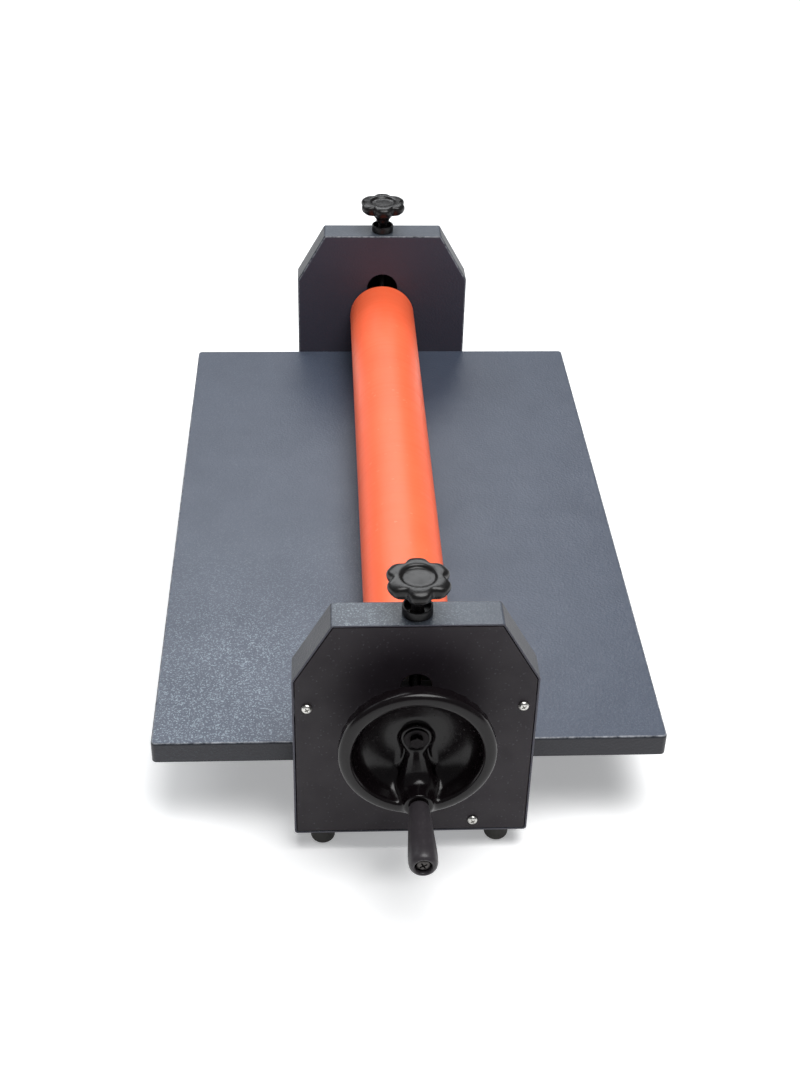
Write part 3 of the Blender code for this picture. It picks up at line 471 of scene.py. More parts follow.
def rounded(corners, radius, inset, steps=6):
    """A convex outline with round corners, moved in by inset.

    Its corners keep their centres, so the points of two insets line up.
    """
    outline = []
    for i, corner in enumerate(corners):
        here = Vector(corner)
        back = (Vector(corners[i - 1]) - here).normalized()
        ahead = (Vector(corners[(i + 1) % len(corners)]) - here).normalized()
        half = back.angle(ahead) / 2
        centre = here + (back + ahead).normalized() * radius / sin(half)
        first = (here + back * radius / np.tan(half) - centre).normalized()
        last = (here + ahead * radius / np.tan(half) - centre).normalized()
        sweep = first.angle_signed(last)
        for j in range(steps + 1):
            spoke = first.copy()
            spoke.rotate(Matrix.Rotation(-sweep * j / steps, 2))
            outline.append(centre + spoke * (radius - inset))
    return outline


def fold(depth, steps=6):
    """(inset, depth) pairs of a folded sheet: flat outside, fold, flange, and back to the flat inside."""
    quarter = [pi / 2 * i / steps for i in range(steps + 1)]
    edge = 0.0003
    outside = [(BEND - BEND * sin(t), BEND - BEND * cos(t)) for t in quarter]
    rim = [(0, depth - edge), (edge * 0.3, depth - edge * 0.3), (edge, depth)]
    rim += [(SHEET - u, v) for u, v in reversed(rim)]
    inner = BEND - SHEET
    inside = [(BEND - inner * sin(t), BEND - inner * cos(t)) for t in reversed(quarter)]
    return outside + rim + inside


# ------------------------ side boxes
SIDE_CORNERS = [
    (-HALF, BOTTOM), (HALF, BOTTOM), (HALF, BOTTOM + SHOULDER),
    (TOP_HALF, TOP), (-TOP_HALF, TOP), (-HALF, BOTTOM + SHOULDER),
]


def side_frame(side):
    """The folded tray: inner plate with the bearing slot, flanges all round, tabs behind the cover."""
    sign = SIDES[side]
    name = side + "_side_frame_shell"
    bm = bmesh.new()
    rings = []
    for inset, depth in fold(DEPTH):
        y = MID_Y + sign * (INNER + depth)
        rings.append([(p.x, y, p.y) for p in rounded(SIDE_CORNERS, 0.0030, inset)])
    made = bridge(bm, rings)
    bm.faces.new(made[0])
    bm.faces.new(made[-1])
    item = add(name, bm)

    back = MID_Y + sign * (OUTER - 2 * SHEET - 2 * GAP)
    front = MID_Y + sign * (OUTER - SHEET - 2 * GAP)
    sunk = 0.0007  # a tab's root, inside its flange
    tabs = []
    for label, (x, height) in COVER_SCREWS.items():
        z = BOTTOM + height
        across = (x - TAB_HALF, x + TAB_HALF)
        upright = (BOTTOM + sunk, z + 0.007)
        if label != "bottom":
            hand = 1 if x > 0 else -1
            across = sorted((hand * (HALF - sunk), hand * (HALF - 0.0195)))
            upright = (z - TAB_HALF, z + TAB_HALF)
        low, high = zip(across, sorted((back, front)), upright)
        tabs.append(block(f"{side}_tab_{label}", low, high))
    carve(item, tabs, "UNION")

    plate = MID_Y + sign * INNER
    mid_box = MID_Y + sign * MID_BOX
    mid_tab = (back + front) / 2
    cutters = [slot_cutter(side + "_bearing_slot", INNER_SLOT, plate)]
    cutters.append(drill(HOLE["journal"], (0, plate, LOWER.z)))
    cutters.append(drill(HOLE["pressure_screw"], (0, mid_box, TOP), "Z"))
    for hand in (-1, 1):
        tie = (hand * TIE_BAR[0], plate, TIE_BAR[1])
        table_screw = (hand * TABLE_SCREW[0], plate, TABLE_SCREW[1])
        stem = (hand * FOOT_X, mid_box, BOTTOM)
        cutters.append(drill(HOLE["tie"], tie))
        cutters.append(drill(HOLE["screw"], table_screw))
        cutters.append(drill(HOLE["stem"], stem, "Z"))
    for x, height in COVER_SCREWS.values():
        cutters.append(drill(HOLE["screw"], (x, mid_tab, BOTTOM + height), "Y", 0.003))
    carve(item, cutters)
    shade(item, 32, weighted=True)
    dress(item, "base", side + "_side_frame", FRAME_PAINT)


def cover(side):
    """The flat cover with eased edges, and in the near one the slot that the shaft rises in."""
    sign = SIDES[side]
    base = SHEET + SEAM
    ease = 0.0004
    bm = bmesh.new()
    rings = []
    for inset, depth in ((ease, 0), (ease * 0.3, ease * 0.3), (0, ease), (0, SHEET - ease), (ease, SHEET)):
        y = MID_Y + sign * (OUTER - depth)
        rings.append([(p.x, y, p.y) for p in rounded(SIDE_CORNERS, 0.0032, base + inset)])
    made = bridge(bm, rings)
    bm.faces.new(made[0])
    bm.faces.new(made[-1])
    item = add(side + "_cover_plate", bm)
    front = MID_Y + sign * OUTER
    cutters = []
    if side == "near":
        cutters.append(slot_cutter("shaft_slot", COVER_SLOT, front, 32))
    for x, height in COVER_SCREWS.values():
        cutters.append(drill(HOLE["screw"], (x, front, BOTTOM + height)))
    carve(item, cutters)
    shade(item, 32, weighted=True)
    dress(item, "base", side + "_cover", COVER_PAINT)


def cross_recess(name, size, width, depth, centre, axis):
    """Cutters for a cross recess: two tapered slots, turned as the screw happened to stop."""
    turn = ALONG[axis]
    stopped = 0.5
    slots = []
    for angle in (stopped, stopped + pi / 2):
        spin = Matrix.Rotation(angle, 3, "Z")
        rings = []
        for height, reach in ((0.0008, 1.12), (0.0, 1.0), (-depth, 0.45)):
            half, side = size * reach, width / 2 * (0.7 + 0.3 * reach)
            square = [(-half, -side), (half, -side), (half, side), (-half, side)]
            rings.append([Vector(centre) + turn @ (spin @ Vector((u, v, height))) for u, v in square])
        bm = bmesh.new()
        made = bridge(bm, rings)
        bm.faces.new(made[0])
        bm.faces.new(made[-1])
        slots.append(add(name, bm))
    return slots


def pan_screw(side, label):
    """A zinc pan-head screw with its cross recess."""
    sign = SIDES[side]
    node = f"{side}_cover_screw_{label}"
    low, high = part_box(node)
    centre = middle(node)
    centre.y = MID_Y + sign * (OUTER + GAP)
    head = (high.x - low.x) / 2
    axis = "Y" if sign > 0 else "-Y"
    shank = 0.0020
    profile = [(0, 0.0027), (head * 0.30, 0.00268), (head * 0.55, 0.00255), (head * 0.74, 0.00225)]
    profile += [(head * 0.88, 0.0017), (head * 0.965, 0.0011), (head, 0.0005), (head, 0.0001)]
    profile += [(head * 0.97, 0), (shank, 0), (shank, -0.0062), (0.0013, -0.0070), (0, -0.0070)]
    item = lathe(node + "_pan", profile, centre, axis, 48)
    top = centre + Vector((0, sign * 0.0026, 0))
    carve(item, cross_recess(node + "_recess", head * 0.52, 0.0010, 0.0017, top, axis))
    shade(item)
    dress(item, "base", node, ZINC)


def foot(node):
    """A push-in rubber foot, rolled over at its edge."""
    low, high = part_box(node)
    radius = (high.x - low.x) / 2
    centre = (*middle(node).xy, 0)
    top = BOTTOM - GAP
    stem = radius * 0.42
    ease = 0.0010
    roll = 0.0046
    profile = [(0, high.z), (radius * 0.30, high.z), (stem, high.z - 0.0016), (stem, top)]
    profile += [(radius - ease, top), *bead((radius - ease, top - ease), ease, 90, 0, 4)[1:]]
    profile += [(radius, 0.0105), (radius * 0.985, 0.0082), *bead((radius - roll, roll), roll, 0, -90, 8)]
    profile += [(radius * 0.30, 0), (radius * 0.22, 0.0012), (0, 0.0012)]
    item = lathe(node + "_moulding", profile, centre, "Z", 48)
    dress(item, "base", node, FOOT_RUBBER)


def collar(side):
    """The black cup on the box top that the knob's neck turns in."""
    low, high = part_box(side + "_screw_collar")
    centre = (*middle(side + "_screw_collar").xy, TOP)
    radius = (high.x - low.x) / 2
    top = high.z - TOP
    bore = 0.0100
    hole = 0.0056
    lip = (radius - bore) / 2
    profile = [(bore, 0.0022), *bead((bore + lip, top - lip), lip, 180, 0, 8)]
    profile += [(radius, 0.0012), (radius - 0.0002, GAP), (hole, GAP), (hole, 0.0015)]
    item = lathe(side + "_collar_cup", profile, centre, "Z", 64, closed=True)
    dress(item, "base", side + "_screw_collar", NYLON)


# ------------------------ tables and tie bars
def table(label):
    """A folded sheet with lips on three sides, its outer corners round and its edge by the roller plain."""
    low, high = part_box(label + "_table")
    hand = -1 if label == "infeed" else 1
    inner, outer = (high.x, low.x) if hand < 0 else (low.x, high.x)
    lip = high.z - low.z
    corner = 0.0042
    bm = bmesh.new()
    rings = []
    for inset, depth in fold(lip):
        line = [(inner, low.y + inset)]
        for end, first, last in ((low.y, -90, 0), (high.y, 0, 90)):
            side = 1 if end > MID_Y else -1
            centre = (outer - hand * corner, end - side * corner)
            for u, v in bead((0, 0), corner - inset, first, last, 6):
                line.append((centre[0] + hand * u, centre[1] + v))
        line.append((inner, high.y - inset))
        rings.append([(x, y, TABLE_TOP - depth) for x, y in line])
    made = bridge(bm, rings, closed=False)
    bm.faces.new(made[0])
    bm.faces.new(made[-1])
    bm.faces.new([ring[0] for ring in made])
    bm.faces.new([ring[-1] for ring in made])
    bm.faces.new([made[0][0], made[0][-1], made[-1][-1], made[-1][0]])
    item = add(label + "_table_sheet", bm)
    holes = []
    for end in (low.y, high.y):
        holes.append(drill(HOLE["screw"], (hand * TABLE_SCREW[0], end, TABLE_SCREW[1])))
    carve(item, holes)
    shade(item, 32, weighted=True)
    dress(item, "base", label + "_table", TABLE_PAINT)


def tie_bar(label):
    """A round bar with a tapped hole in each end."""
    low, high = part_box(label + "_tie_bar")
    centre = middle(label + "_tie_bar")
    radius = (high.z - low.z) / 2
    half = (high.y - low.y) / 2
    hole = HOLE["tie"]
    profile = []
    for end in (-1, 1):
        ends = [(hole, end * (half - 0.016)), (hole, end * (half - 0.0006)), (0.0049, end * half)]
        ends += [(radius - 0.0008, end * half), (radius, end * (half - 0.0008))]
        profile += [(0, ends[0][1]), *ends] if end < 0 else [*reversed(ends), (0, ends[0][1])]
    item = lathe(label + "_tie_rod", profile, centre, "Y", 64)
    dress(item, "base", label + "_tie_bar", STEEL)


# ------------------------ rollers
def sleeve(node, body, material, wall=0.0073):
    """A roller's covering, with its ends eased and faced."""
    low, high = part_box(node)
    centre = (0, *middle(node).yz)
    radius = (high.z - low.z) / 2
    half = (high.y - low.y) / 2
    ease = 0.0011
    bore = radius - wall
    profile = [(bore, half - 0.0002), (bore + 0.0003, half)]
    profile += bead((radius - ease, half - ease), ease, 90, 0, 6)
    profile += bead((radius - ease, -half + ease), ease, 0, -90, 6)
    profile += [(bore + 0.0003, -half), (bore, -half + 0.0002)]
    item = lathe(node + "_cover", profile, centre, "Y", 160, closed=True)
    dress(item, body, node, material)


def roller_core(node, body, tube, centre, journals):
    """A steel tube closed by pressed end plates, with its stub shafts."""
    low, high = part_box(node.replace("core", "sleeve"))
    half = (high.y - low.y) / 2 - GAP
    profile = [*journals["near"]]
    for end in (-1, 1):
        shaft = journals["radius"]
        plate = [(shaft, end * half), (shaft + 0.0030, end * half), (shaft + 0.0036, end * (half - 0.0008))]
        plate += [(tube - 0.0036, end * (half - 0.0008)), (tube - 0.0030, end * half), (tube, end * half)]
        profile += plate if end < 0 else reversed(plate)
    profile += journals["far"]
    item = lathe(node + "_tube", profile, centre, "Y", 64)
    dress(item, body, node, STEEL)


# ------------------------ knobs, screws and springs
def star(turn, lobes=6):
    """How deep the scallop is at an angle, from 0 on a lobe to 1 between two."""
    return (0.5 + 0.5 * cos(lobes * turn)) ** 2.4


def knob(side):
    """The six-lobed star knob: necked hub, rounded lobes and a dished top."""
    low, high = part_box(side + "_knob")
    centre = Vector((0, MID_Y + SIDES[side] * MID_BOX, 0))
    radius = (high.y - low.y) / 2
    top = high.z
    neck = 0.0072
    sections = [  # (below the top, radius, depth of the scallops)
        (top - low.z, 0.0052, 0), (top - low.z, neck - 0.0005, 0), (top - low.z - 0.0005, neck, 0),
        (0.0212, neck, 0), (0.0202, 0.0076, 0), (0.0180, 0.0094, 0), (0.0150, 0.0112, 0),
        (0.0133, 0.0121, 0.0001), (0.0125, 0.0136, 0.0004), (0.0121, 0.0165, 0.0013),
        (0.0117, 0.0196, 0.0026), (0.0108, 0.0221, 0.0038), (0.0093, 0.0238, 0.0044),
        (0.0072, 0.0249, 0.0048), (0.0050, radius, 0.0049), (0.0032, 0.0250, 0.0048),
        (0.0018, 0.0241, 0.0043), (0.0008, 0.0226, 0.0038), (0.0002, 0.0206, 0.0026),
        (0.0, 0.0186, 0.0013), (0.0, 0.0160, 0.0003), (0.0001, 0.0145, 0), (0.0005, 0.0137, 0),
        (0.0012, 0.0131, 0), (0.0021, 0.0125, 0), (0.0025, 0.0115, 0), (0.0024, 0.0080, 0),
        (0.0022, 0.0040, 0), (0.0021, 0.0, 0),
    ]
    rings = []
    for below, reach, scallop in sections:
        ring = []
        for turn in around(144 if reach else 1):
            out = reach - scallop * star(turn)
            ring.append(centre + Vector((out * cos(turn), out * sin(turn), top - below)))
        rings.append(ring)
    bm = bmesh.new()
    made = bridge(bm, rings)
    bm.faces.new(made[0])
    item = add(side + "_star_knob", bm, 50)
    dress(item, side + "_adjuster", side + "_knob", KNOB_BLACK)


def pressure_screw(side, pitch=0.0015):
    """The M10 pressure screw with its thread cut, and the plain tip that bears on the block."""
    thread = 0.0008
    low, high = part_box(side + "_pressure_screw")
    centre = Vector((0, MID_Y + SIDES[side] * MID_BOX, 0))
    radius = (high.x - low.x) / 2
    start = low.z + 0.006
    rows = int((high.z - start) / pitch * 6)
    steps = 24
    turns = around(steps)
    tip = radius * 0.75
    rings = [[centre + Vector((0, 0, low.z))]]
    for height, reach in ((low.z + 0.0018, radius * 0.70), (low.z + 0.0022, tip), (start, tip)):
        rings.append([centre + Vector((reach * cos(t), reach * sin(t), height)) for t in turns])
    for row in range(rows + 1):
        height = start + (high.z - start) * row / rows
        runout = min(1.0, row / 6, (rows - row) / 6)
        ring = []
        for i, turn in enumerate(turns):
            phase = (height / pitch - i / steps) % 1.0
            groove = abs(phase - 0.5) * 2
            reach = radius - thread * groove * runout - thread / 2 * (1 - runout)
            ring.append(centre + Vector((reach * cos(turn), reach * sin(turn), height)))
        rings.append(ring)
    bm = bmesh.new()
    made = bridge(bm, rings)
    bm.faces.new(made[-1])
    item = add(side + "_threaded_screw", bm, 60)
    dress(item, side + "_adjuster", side + "_pressure_screw", DARK_STEEL)


def tube(name, points, radius, sides=10):
    """A round wire along points, with flat ends."""
    bm = bmesh.new()
    rings = []
    side = Vector((0, 0, 1))
    for i, point in enumerate(points):
        ahead = (points[min(i + 1, len(points) - 1)] - points[max(i - 1, 0)]).normalized()
        side = (side - ahead * side.dot(ahead)).normalized()
        other = ahead.cross(side)
        rings.append([point + radius * (side * cos(t) + other * sin(t)) for t in around(sides)])
    made = bridge(bm, rings)
    bm.faces.new(made[0])
    bm.faces.new(made[-1])
    return add(name, bm, 50)


def lift_spring(side, turns=6, wire=0.0009):
    """A coil spring with closed ends, between the base and the bearing block."""
    node = side + "_lift_spring"
    low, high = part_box(node)
    centre = (low + high) / 2
    radius = (high.x - low.x) / 2 - wire
    bottom, top = low.z + wire, high.z - wire
    points = []
    count = turns * 28
    for i in range(count + 1):
        share = i / count
        rise = (share - sin(2 * pi * share) / (2 * pi)) * 0.45 + share * 0.55
        turn = 2 * pi * turns * share
        height = bottom + (top - bottom) * rise
        points.append(Vector((centre.x + radius * cos(turn), centre.y + radius * sin(turn), height)))
    item = tube(side + "_coil_spring", points, wire)
    item.data.materials.append(SPRING_STEEL)
    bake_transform(item)
    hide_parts(node)


# ------------------------ handwheel
HANDLE_DOWN = UPPER.z - HANDLE_AXIS.z  # from the shaft to the handle
WHEEL_BORE = 0.0078
HUB_FACE = 0.0200
HUB_BACK = 0.0025
BOSS_BACK = 0.0170
BOSS_TOP = 0.0448
BOSS_RADIUS = 0.0108  # at its top
NUT_RECESS = 0.0085  # radius of the recess behind the boss
NUT_FLOOR = 0.0175
WHEEL_SECTION = [  # (radius, outward from the cover)
    (WHEEL_BORE, HUB_FACE), (0.0100, HUB_FACE), (0.0114, HUB_FACE), (0.0124, 0.0190), (0.0130, 0.0168),
    (0.0150, 0.0155), (0.0190, 0.0150), (0.0250, 0.0154), (0.0320, 0.0170), (0.0390, 0.0202),
    (0.0440, 0.0242), (0.0474, 0.0296), (0.0489, 0.0350), (0.0496, 0.0392), (0.0508, 0.0411),
    (0.0530, 0.0417), (0.0560, 0.0416), (0.0587, 0.0408), (0.0603, 0.0390), (0.0606, 0.0366),
    (0.0604, 0.0320), (0.0598, 0.0280), (0.0582, 0.0256), (0.0545, 0.0248), (0.0505, 0.0228),
    (0.0460, 0.0190), (0.0400, 0.0152), (0.0330, 0.0126), (0.0250, 0.0112), (0.0172, 0.0106),
    (0.0150, 0.0095), (0.0145, 0.0062), (0.0145, 0.0030), (0.0140, HUB_BACK), (0.0110, HUB_BACK),
    (WHEEL_BORE, HUB_BACK),
]


def eased(outline, rounds=2):
    """A closed outline with its corners cut again and again, which brings it close to a smooth curve."""
    points = np.array(outline)
    for _ in range(rounds):
        after = np.roll(points, -1, axis=0)
        points = np.stack([0.75 * points + 0.25 * after, 0.25 * points + 0.75 * after], 1).reshape(-1, 2)
    return points


def section_distance(points, section):
    """Signed distance in the plane from points to a closed section, negative inside."""
    nearest = np.full(len(points), np.inf)
    sign = np.ones(len(points))
    for i in range(len(section)):
        start, end = section[i], section[i - 1]
        edge = end - start
        offset = points - start
        along = np.clip(offset @ edge / (edge @ edge), 0, 1)
        gap = offset - along[:, None] * edge
        nearest = np.minimum(nearest, (gap**2).sum(1))
        above = points[:, 1] >= start[1]
        below = points[:, 1] < end[1]
        left = edge[0] * offset[:, 1] > edge[1] * offset[:, 0]
        flip = (above & below & left) | (~above & ~below & ~left)
        sign[flip] *= -1
    return sign * np.sqrt(nearest)


SMOOTH_SECTION = eased(WHEEL_SECTION)


def smooth_join(first, second, blend):
    """The distance to two forms with a fillet between them."""
    share = np.clip(0.5 + 0.5 * (second - first) / blend, 0, 1)
    return second * (1 - share) + first * share - blend * share * (1 - share)


def rounded_block(distances, rounding):
    """Distance to a rounded block from its signed distances along each axis."""
    apart = np.stack([d + rounding for d in distances], 1)
    outside = np.sqrt((np.maximum(apart, 0) ** 2).sum(1))
    return outside + np.minimum(apart.max(1), 0) - rounding


def wheel_distance(points):
    """Signed distance to the moulded wheel. points are (x, outward, z) from its axis at the cover."""
    x, out, z = points.T
    radius = np.hypot(x, z)
    wheel = section_distance(np.stack([radius, out], 1), SMOOTH_SECTION)
    dents, dent_depth = 30, 0.00055  # finger dents round the back of the rim
    back_of_rim = np.clip((radius - 0.0505) / 0.004, 0, 1) * np.clip((0.0345 - out) / 0.003, 0, 1)
    wheel = wheel + dent_depth * back_of_rim * (0.5 + 0.5 * np.cos(dents * np.arctan2(z, x)))

    down = -z
    rib_start = 0.008
    share = np.clip((down - rib_start) / (HANDLE_DOWN - rib_start), 0, 1)
    half = 0.0068 + 0.0082 * share**1.3
    crest = 0.0222 + 0.0118 * share**1.5
    across = x - HANDLE_AXIS.x * share
    rib = [np.abs(across) - half, out - crest, 0.013 - out, 0.006 - down, down - 0.0500]
    rib = rounded_block(rib, 0.0058)

    away = np.hypot(x - HANDLE_AXIS.x, down - HANDLE_DOWN)
    swell = np.clip((BOSS_TOP - out) / 0.022, 0, 1)
    boss = [away - BOSS_RADIUS - 0.0030 * swell**2, out - BOSS_TOP, BOSS_BACK - out]
    boss = rounded_block(boss, 0.0014)
    body = smooth_join(smooth_join(wheel, rib, 0.0090), boss, 0.0070)
    bore = WHEEL_BORE - radius
    past_floor = out - NUT_FLOOR
    recess = np.minimum(np.maximum(NUT_RECESS - away, past_floor), -past_floor)
    return np.maximum(np.maximum(body, bore), recess)


def handwheel():
    """The dished wheel: a rough closed form, remeshed, with its points drawn onto the moulded surface."""
    origin = Vector((0, COVER_FACE, UPPER.z))
    rough = lathe("handwheel_moulding", WHEEL_SECTION, origin, "-Y", 96, closed=True)
    boss = [(0, BOSS_BACK), (0.0128, BOSS_BACK), (0.0118, 0.0300), (BOSS_RADIUS, BOSS_TOP), (0, BOSS_TOP)]
    boss = lathe("boss_form", boss, origin + Vector((HANDLE_AXIS.x, 0, -HANDLE_DOWN)), "-Y", 48)
    rib_low = (-0.008, origin.y - 0.024, origin.z - 0.046)
    rib_high = (0.009, origin.y - 0.013, origin.z - 0.0105)
    rib = block("rib_form", rib_low, rib_high)
    bm = bmesh.new()
    for form in (rough, boss, rib):
        bm.from_mesh(form.data)
    bm.to_mesh(rough.data)
    bm.free()
    for form in (boss, rib):
        bpy.data.objects.remove(form)
    remesh = rough.modifiers.new("even", "REMESH")
    remesh.mode = "VOXEL"
    remesh.voxel_size = 0.0009
    item = settle(rough)

    mesh = item.data
    spots = np.empty(len(mesh.vertices) * 3)
    mesh.vertices.foreach_get("co", spots)
    spots = spots.reshape(-1, 3)
    ends = np.empty(len(mesh.edges) * 2, int)
    mesh.edges.foreach_get("vertices", ends)
    ends = ends.reshape(-1, 2)
    count = np.bincount(ends.ravel(), minlength=len(spots))[:, None]
    local = np.stack([spots[:, 0] - origin.x, origin.y - spots[:, 1], spots[:, 2] - origin.z], 1)
    step = 1e-5
    furthest = 0.0012  # that a point may move in one round
    for relax in (0.5, 0.5, 0.5, 0.5, 0.4, 0.0, 0.0, 0.0):
        if relax:
            total = np.zeros_like(local)
            np.add.at(total, ends[:, 0], local[ends[:, 1]])
            np.add.at(total, ends[:, 1], local[ends[:, 0]])
            local = local + relax * (total / count - local)
        distance = wheel_distance(local)
        slope = np.empty_like(local)
        for axis in range(3):
            nudge = np.zeros(3)
            nudge[axis] = step
            slope[:, axis] = (wheel_distance(local + nudge) - distance) / step
        length = np.maximum((slope**2).sum(1), 0.25)
        move = np.clip(distance / length, -furthest, furthest)
        local = local - slope * move[:, None]
    spots = np.stack([local[:, 0] + origin.x, origin.y - local[:, 1], local[:, 2] + origin.z], 1)
    mesh.vertices.foreach_set("co", spots.ravel())
    mesh.update()
    shade(item, 55)
    dress(item, "upper_roller", "handwheel", WHEEL_BLACK)


def hub_fastening():
    """The washer and hex screw that hold the wheel on its shaft."""
    origin = (0, COVER_FACE, UPPER.z)
    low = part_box("hub_washer")[0]
    front = COVER_FACE - low.y
    back = front - 0.0015
    outer = 0.0098
    ease = 0.0003
    bore = 0.0034
    washer = [(bore, back), (bore, front - ease), (bore + ease, front), (outer - ease, front)]
    washer += [(outer, front - ease), (outer, back + ease), (outer - ease, back)]
    item = lathe("hub_washer_disc", washer, origin, "-Y", 64, closed=True)
    dress(item, "upper_roller", "hub_washer", DARK_STEEL)

    seat = front + GAP
    head = seat + 0.0040
    flats, corner = 0.0048, 0.0055
    shank, length = 0.003, 0.011
    bm = bmesh.new()
    rings = []
    points = 72
    turns = around(points)
    for reach, height in ((corner, seat), (corner, head - 0.0007), (0.0050, head - 0.0002), (0.0046, head)):
        ring = []
        for turn in turns:
            hexagon = flats / cos((turn + pi / 6) % (pi / 3) - pi / 6)
            out = min(reach, hexagon)
            ring.append(Vector((out * cos(turn), -height, out * sin(turn))) + Vector(origin))
        rings.append(ring)
    made = bridge(bm, rings)
    bm.faces.new(made[-1])
    root = [Vector((shank * cos(t), -seat, shank * sin(t))) + Vector(origin) for t in turns]
    inner = bridge(bm, [root, [point + Vector((0, length, 0)) for point in root]])
    bm.faces.new(inner[-1])
    for i in range(points):
        j = (i + 1) % points
        bm.faces.new([made[0][i], made[0][j], inner[0][j], inner[0][i]])
    item = add("hub_hex_screw", bm, 25)
    dress(item, "upper_roller", "hub_screw", DARK_STEEL)


def handle():
    """The revolving grip, rounded at its root and end, and the shouldered spindle in its counterbore."""
    low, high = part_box("handle_grip")
    origin = (HANDLE_AXIS.x, COVER_FACE, HANDLE_AXIS.z)
    end = COVER_FACE - low.y
    root = COVER_FACE - high.y
    radius = (high.x - low.x) / 2
    bore = 0.0043
    head = 0.0066
    seat = end - 0.0100 - GAP
    profile = [(bore, root), (0.0060, root), (0.0068, root + 0.0002), (0.0074, root + 0.0007)]
    profile += [(0.0078, root + 0.0015), (0.0080, root + 0.0028), (0.0083, root + 0.0060)]
    profile += [(0.0090, root + 0.0150), (0.0100, end - 0.0320), (0.0108, end - 0.0200)]
    profile += [(0.0112, end - 0.0130), (radius, end - 0.0090), (0.0112, end - 0.0058)]
    profile += [(0.0109, end - 0.0038), (0.0104, end - 0.0022), (0.0096, end - 0.0010)]
    profile += [(0.0088, end - 0.0004), (0.0082, end), (0.0074, end - 0.0001), (0.0068, end - 0.0006)]
    profile += [(head, end - 0.0014), (head, seat), (bore, seat)]
    item = lathe("handle_grip_moulding", profile, origin, "-Y", 96, closed=True, sharp=40)
    dress(item, "handle", "handle_grip", GRIP_BLACK)

    top = end - 0.0016
    back = COVER_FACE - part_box("handle_spindle")[1].y
    wide, shank = 0.0060, 0.0040
    spindle = [(0, top), (0.0030, top - 0.0001), (0.0046, top - 0.0005), (0.0055, top - 0.0013)]
    spindle += [(wide, top - 0.0026), (wide, seat + GAP), (shank, seat + GAP), (shank, back + 0.0005)]
    spindle += [(0.0035, back), (0, back)]
    item = lathe("handle_spindle_bolt", spindle, origin, "-Y", 64)
    face = Vector(origin) - Vector((0, top, 0))
    carve(item, cross_recess("spindle_recess", 0.0034, 0.0013, 0.0022, face, "-Y"))
    shade(item)
    dress(item, "upper_roller", "handle_spindle", HEAD_STEEL)


# ------------------------ the pieces
for side in SIDES:
    side_frame(side)
    cover(side)
    collar(side)
    knob(side)
    pressure_screw(side)
    lift_spring(side)
    for label in COVER_SCREWS:
        pan_screw(side, label)
    for label in ("infeed", "outfeed"):
        foot(f"{side}_{label}_foot")
for label in ("infeed", "outfeed"):
    table(label)
    tie_bar(label)

sleeve("upper_roller_sleeve", "upper_roller", SILICONE)
sleeve("lower_roller_sleeve", "lower_roller", ROLL_RUBBER)

core_low, core_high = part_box("upper_roller_core")
near_reach = MID_Y - core_low.y
far_reach = core_high.y - MID_Y
shoulder = OUTER + 0.0022
UPPER_SHAFT = {
    "radius": 0.010,
    "near": [
        (0, -near_reach), (0.0070, -near_reach), (0.0075, -near_reach + 0.0005), (0.0075, -shoulder),
        (0.0095, -shoulder), (0.0100, -shoulder + 0.0005),
    ],
    "far": [
        (0.0100, far_reach - 0.0040), (0.0085, far_reach - 0.0038), (0.0085, far_reach - 0.0020),
        (0.0100, far_reach - 0.0019), (0.0100, far_reach - 0.0008), (0.0092, far_reach), (0, far_reach),
    ],
}
roller_core("upper_roller_core", "upper_roller", 0.0284, (0, MID_Y, UPPER.z), UPPER_SHAFT)
low_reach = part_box("lower_roller_core")[1].y - MID_Y
LOWER_SHAFT = {
    "radius": 0.008,
    "near": [(0, -low_reach), (0.0075, -low_reach), (0.0080, -low_reach + 0.0005)],
    "far": [(0.0080, low_reach - 0.0005), (0.0075, low_reach), (0, low_reach)],
}
roller_core("lower_roller_core", "lower_roller", 0.0224, (0, MID_Y, LOWER.z), LOWER_SHAFT)
handwheel()
hub_fastening()
handle()

KEPT = {  # CAD meshes that stay, by the ends of their names
    "bearing_block": NYLON, "lower_housing": NYLON, "upper_bush": BRONZE, "lift_nut": DRAWN_STEEL,
    "guide": DARK_STEEL, "tie_bolt": ZINC, "table_screw": ZINC, "spindle_nut": ZINC,
    "hub_drive_pin": STEEL, "shaft_retaining_ring": SPRING_STEEL,
}
for name, node in frame["nodes"].items():
    for ending, material in KEPT.items():
        if name.endswith(ending):
            node.data.materials.clear()
            node.data.materials.append(material)
            easing = node.modifiers.new("eased_edges", "BEVEL")
            easing.width = 0.0003
            easing.segments = 2
            easing.limit_method = "ANGLE"
            easing.angle_limit = radians(40)


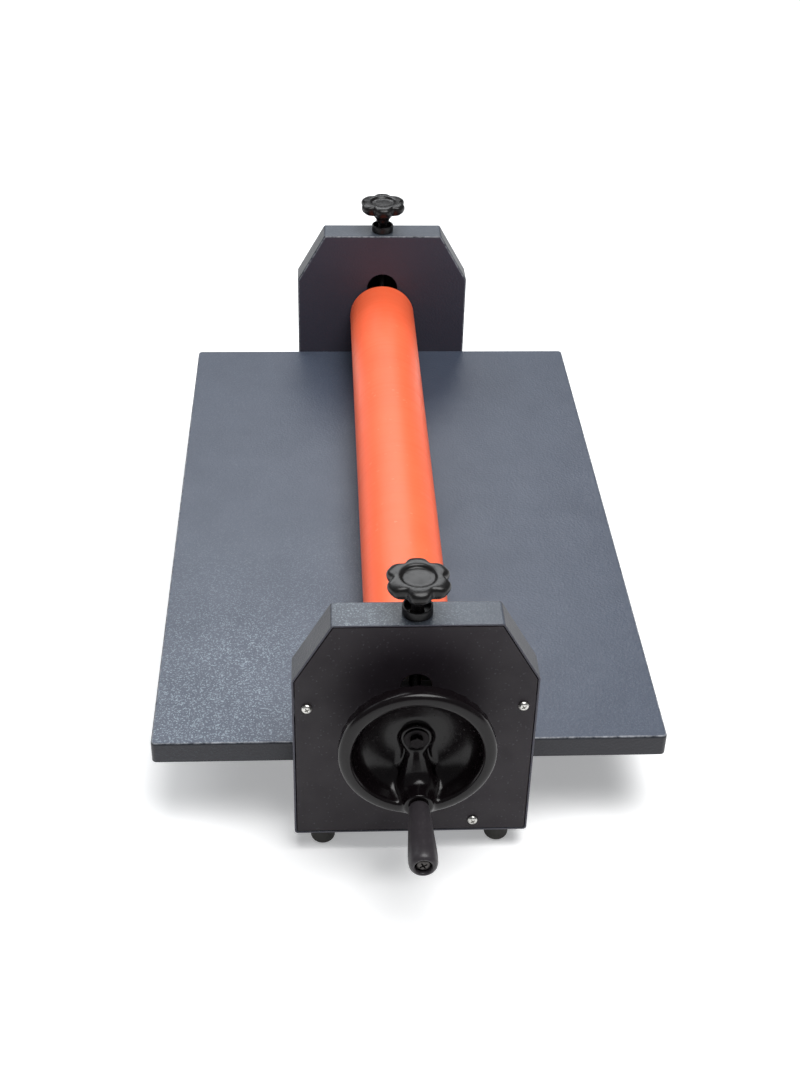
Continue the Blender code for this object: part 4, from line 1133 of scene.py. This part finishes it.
# ------------------------ floor, light and camera
def floor():
    """A pale seamless sweep, slightly uneven in tone, lit a little from beneath as on a product table."""
    paper = Shader("floor_paper", 0.85, 0.0, Specular_IOR_Level=0.2, Emission_Strength=0.32)
    paper.main.inputs["Emission Color"].default_value = (0.98, 0.99, 1.0, 1)
    tone = paper.mix(paper.remap(paper.noise(2.0, 3.0), 0.3, 0.7), (0.83, 0.83, 0.83), (0.86, 0.86, 0.86))
    material = paper.finish(tone, None, paper.bump(paper.noise(400.0, 2.0), 0.0001, 0.2))
    size = 9.0
    bm = bmesh.new()
    bridge(bm, [[(-size, y, -0.0002), (size, y, -0.0002)] for y in (-size, size)], closed=False)
    item = add("floor", bm)
    item.data.materials.append(material)


def softbox(name, place, aim, size, power, colour=(1, 1, 1)):
    """A rectangular light of a size, pointed from its place at a spot."""
    data = bpy.data.lights.new(name, "AREA")
    data.shape = "RECTANGLE"
    data.size, data.size_y = size
    data.energy = power
    data.color = colour
    item = bpy.data.objects.new(name, data)
    item.location = place
    item.rotation_euler = (Vector(aim) - Vector(place)).to_track_quat("-Z", "Y").to_euler()
    bpy.context.scene.collection.objects.link(item)


def world(colour, strength):
    made = bpy.data.worlds.new("studio")
    made.use_nodes = True
    sky = made.node_tree.nodes["Background"]
    sky.inputs["Color"].default_value = (*colour, 1)
    sky.inputs["Strength"].default_value = strength
    bpy.context.scene.world = made


def camera():
    """Stands where the photographer stood, found from the straight edges of the boxes and tables."""
    data = bpy.data.cameras.new("camera")
    data.sensor_width = 36.0
    data.lens = 52.228
    data.clip_end = 50.0
    item = bpy.data.objects.new("camera", data)
    pitch, yaw, roll = -0.609851, 0.0627135, 0.027373
    ahead = Vector((sin(yaw) * cos(pitch), cos(yaw) * cos(pitch), sin(pitch)))
    right = Vector((cos(yaw), -sin(yaw), 0))
    up = right.cross(ahead)
    rolled = (right * cos(roll) + up * sin(roll), up * cos(roll) - right * sin(roll), -ahead)
    turned = Matrix(rolled).transposed()
    item.matrix_world = Matrix.Translation((-0.07203, MID_Y - 1.25912, BOTTOM + 0.92671)) @ turned.to_4x4()
    bpy.context.scene.collection.objects.link(item)
    bpy.context.scene.camera = item


floor()
bpy.context.scene.view_settings.view_transform = "Standard"
world((0.96, 0.98, 1.0), 0.17)
softbox("back_key", (-0.7, 2.5, 2.5), (0, -0.1, 0.1), (3.6, 1.2), 80, (0.96, 0.98, 1.0))
softbox("top_soft", (0.34, -0.58, 2.4), (-0.02, -0.25, 0), (1.6, 1.6), 71)
softbox("left_window", (-2.2, 0.9, 1.5), (0, -0.1, 0.1), (1.2, 1.0), 3, (0.90, 0.95, 1.0))
camera()

bpy.context.view_layer.update()
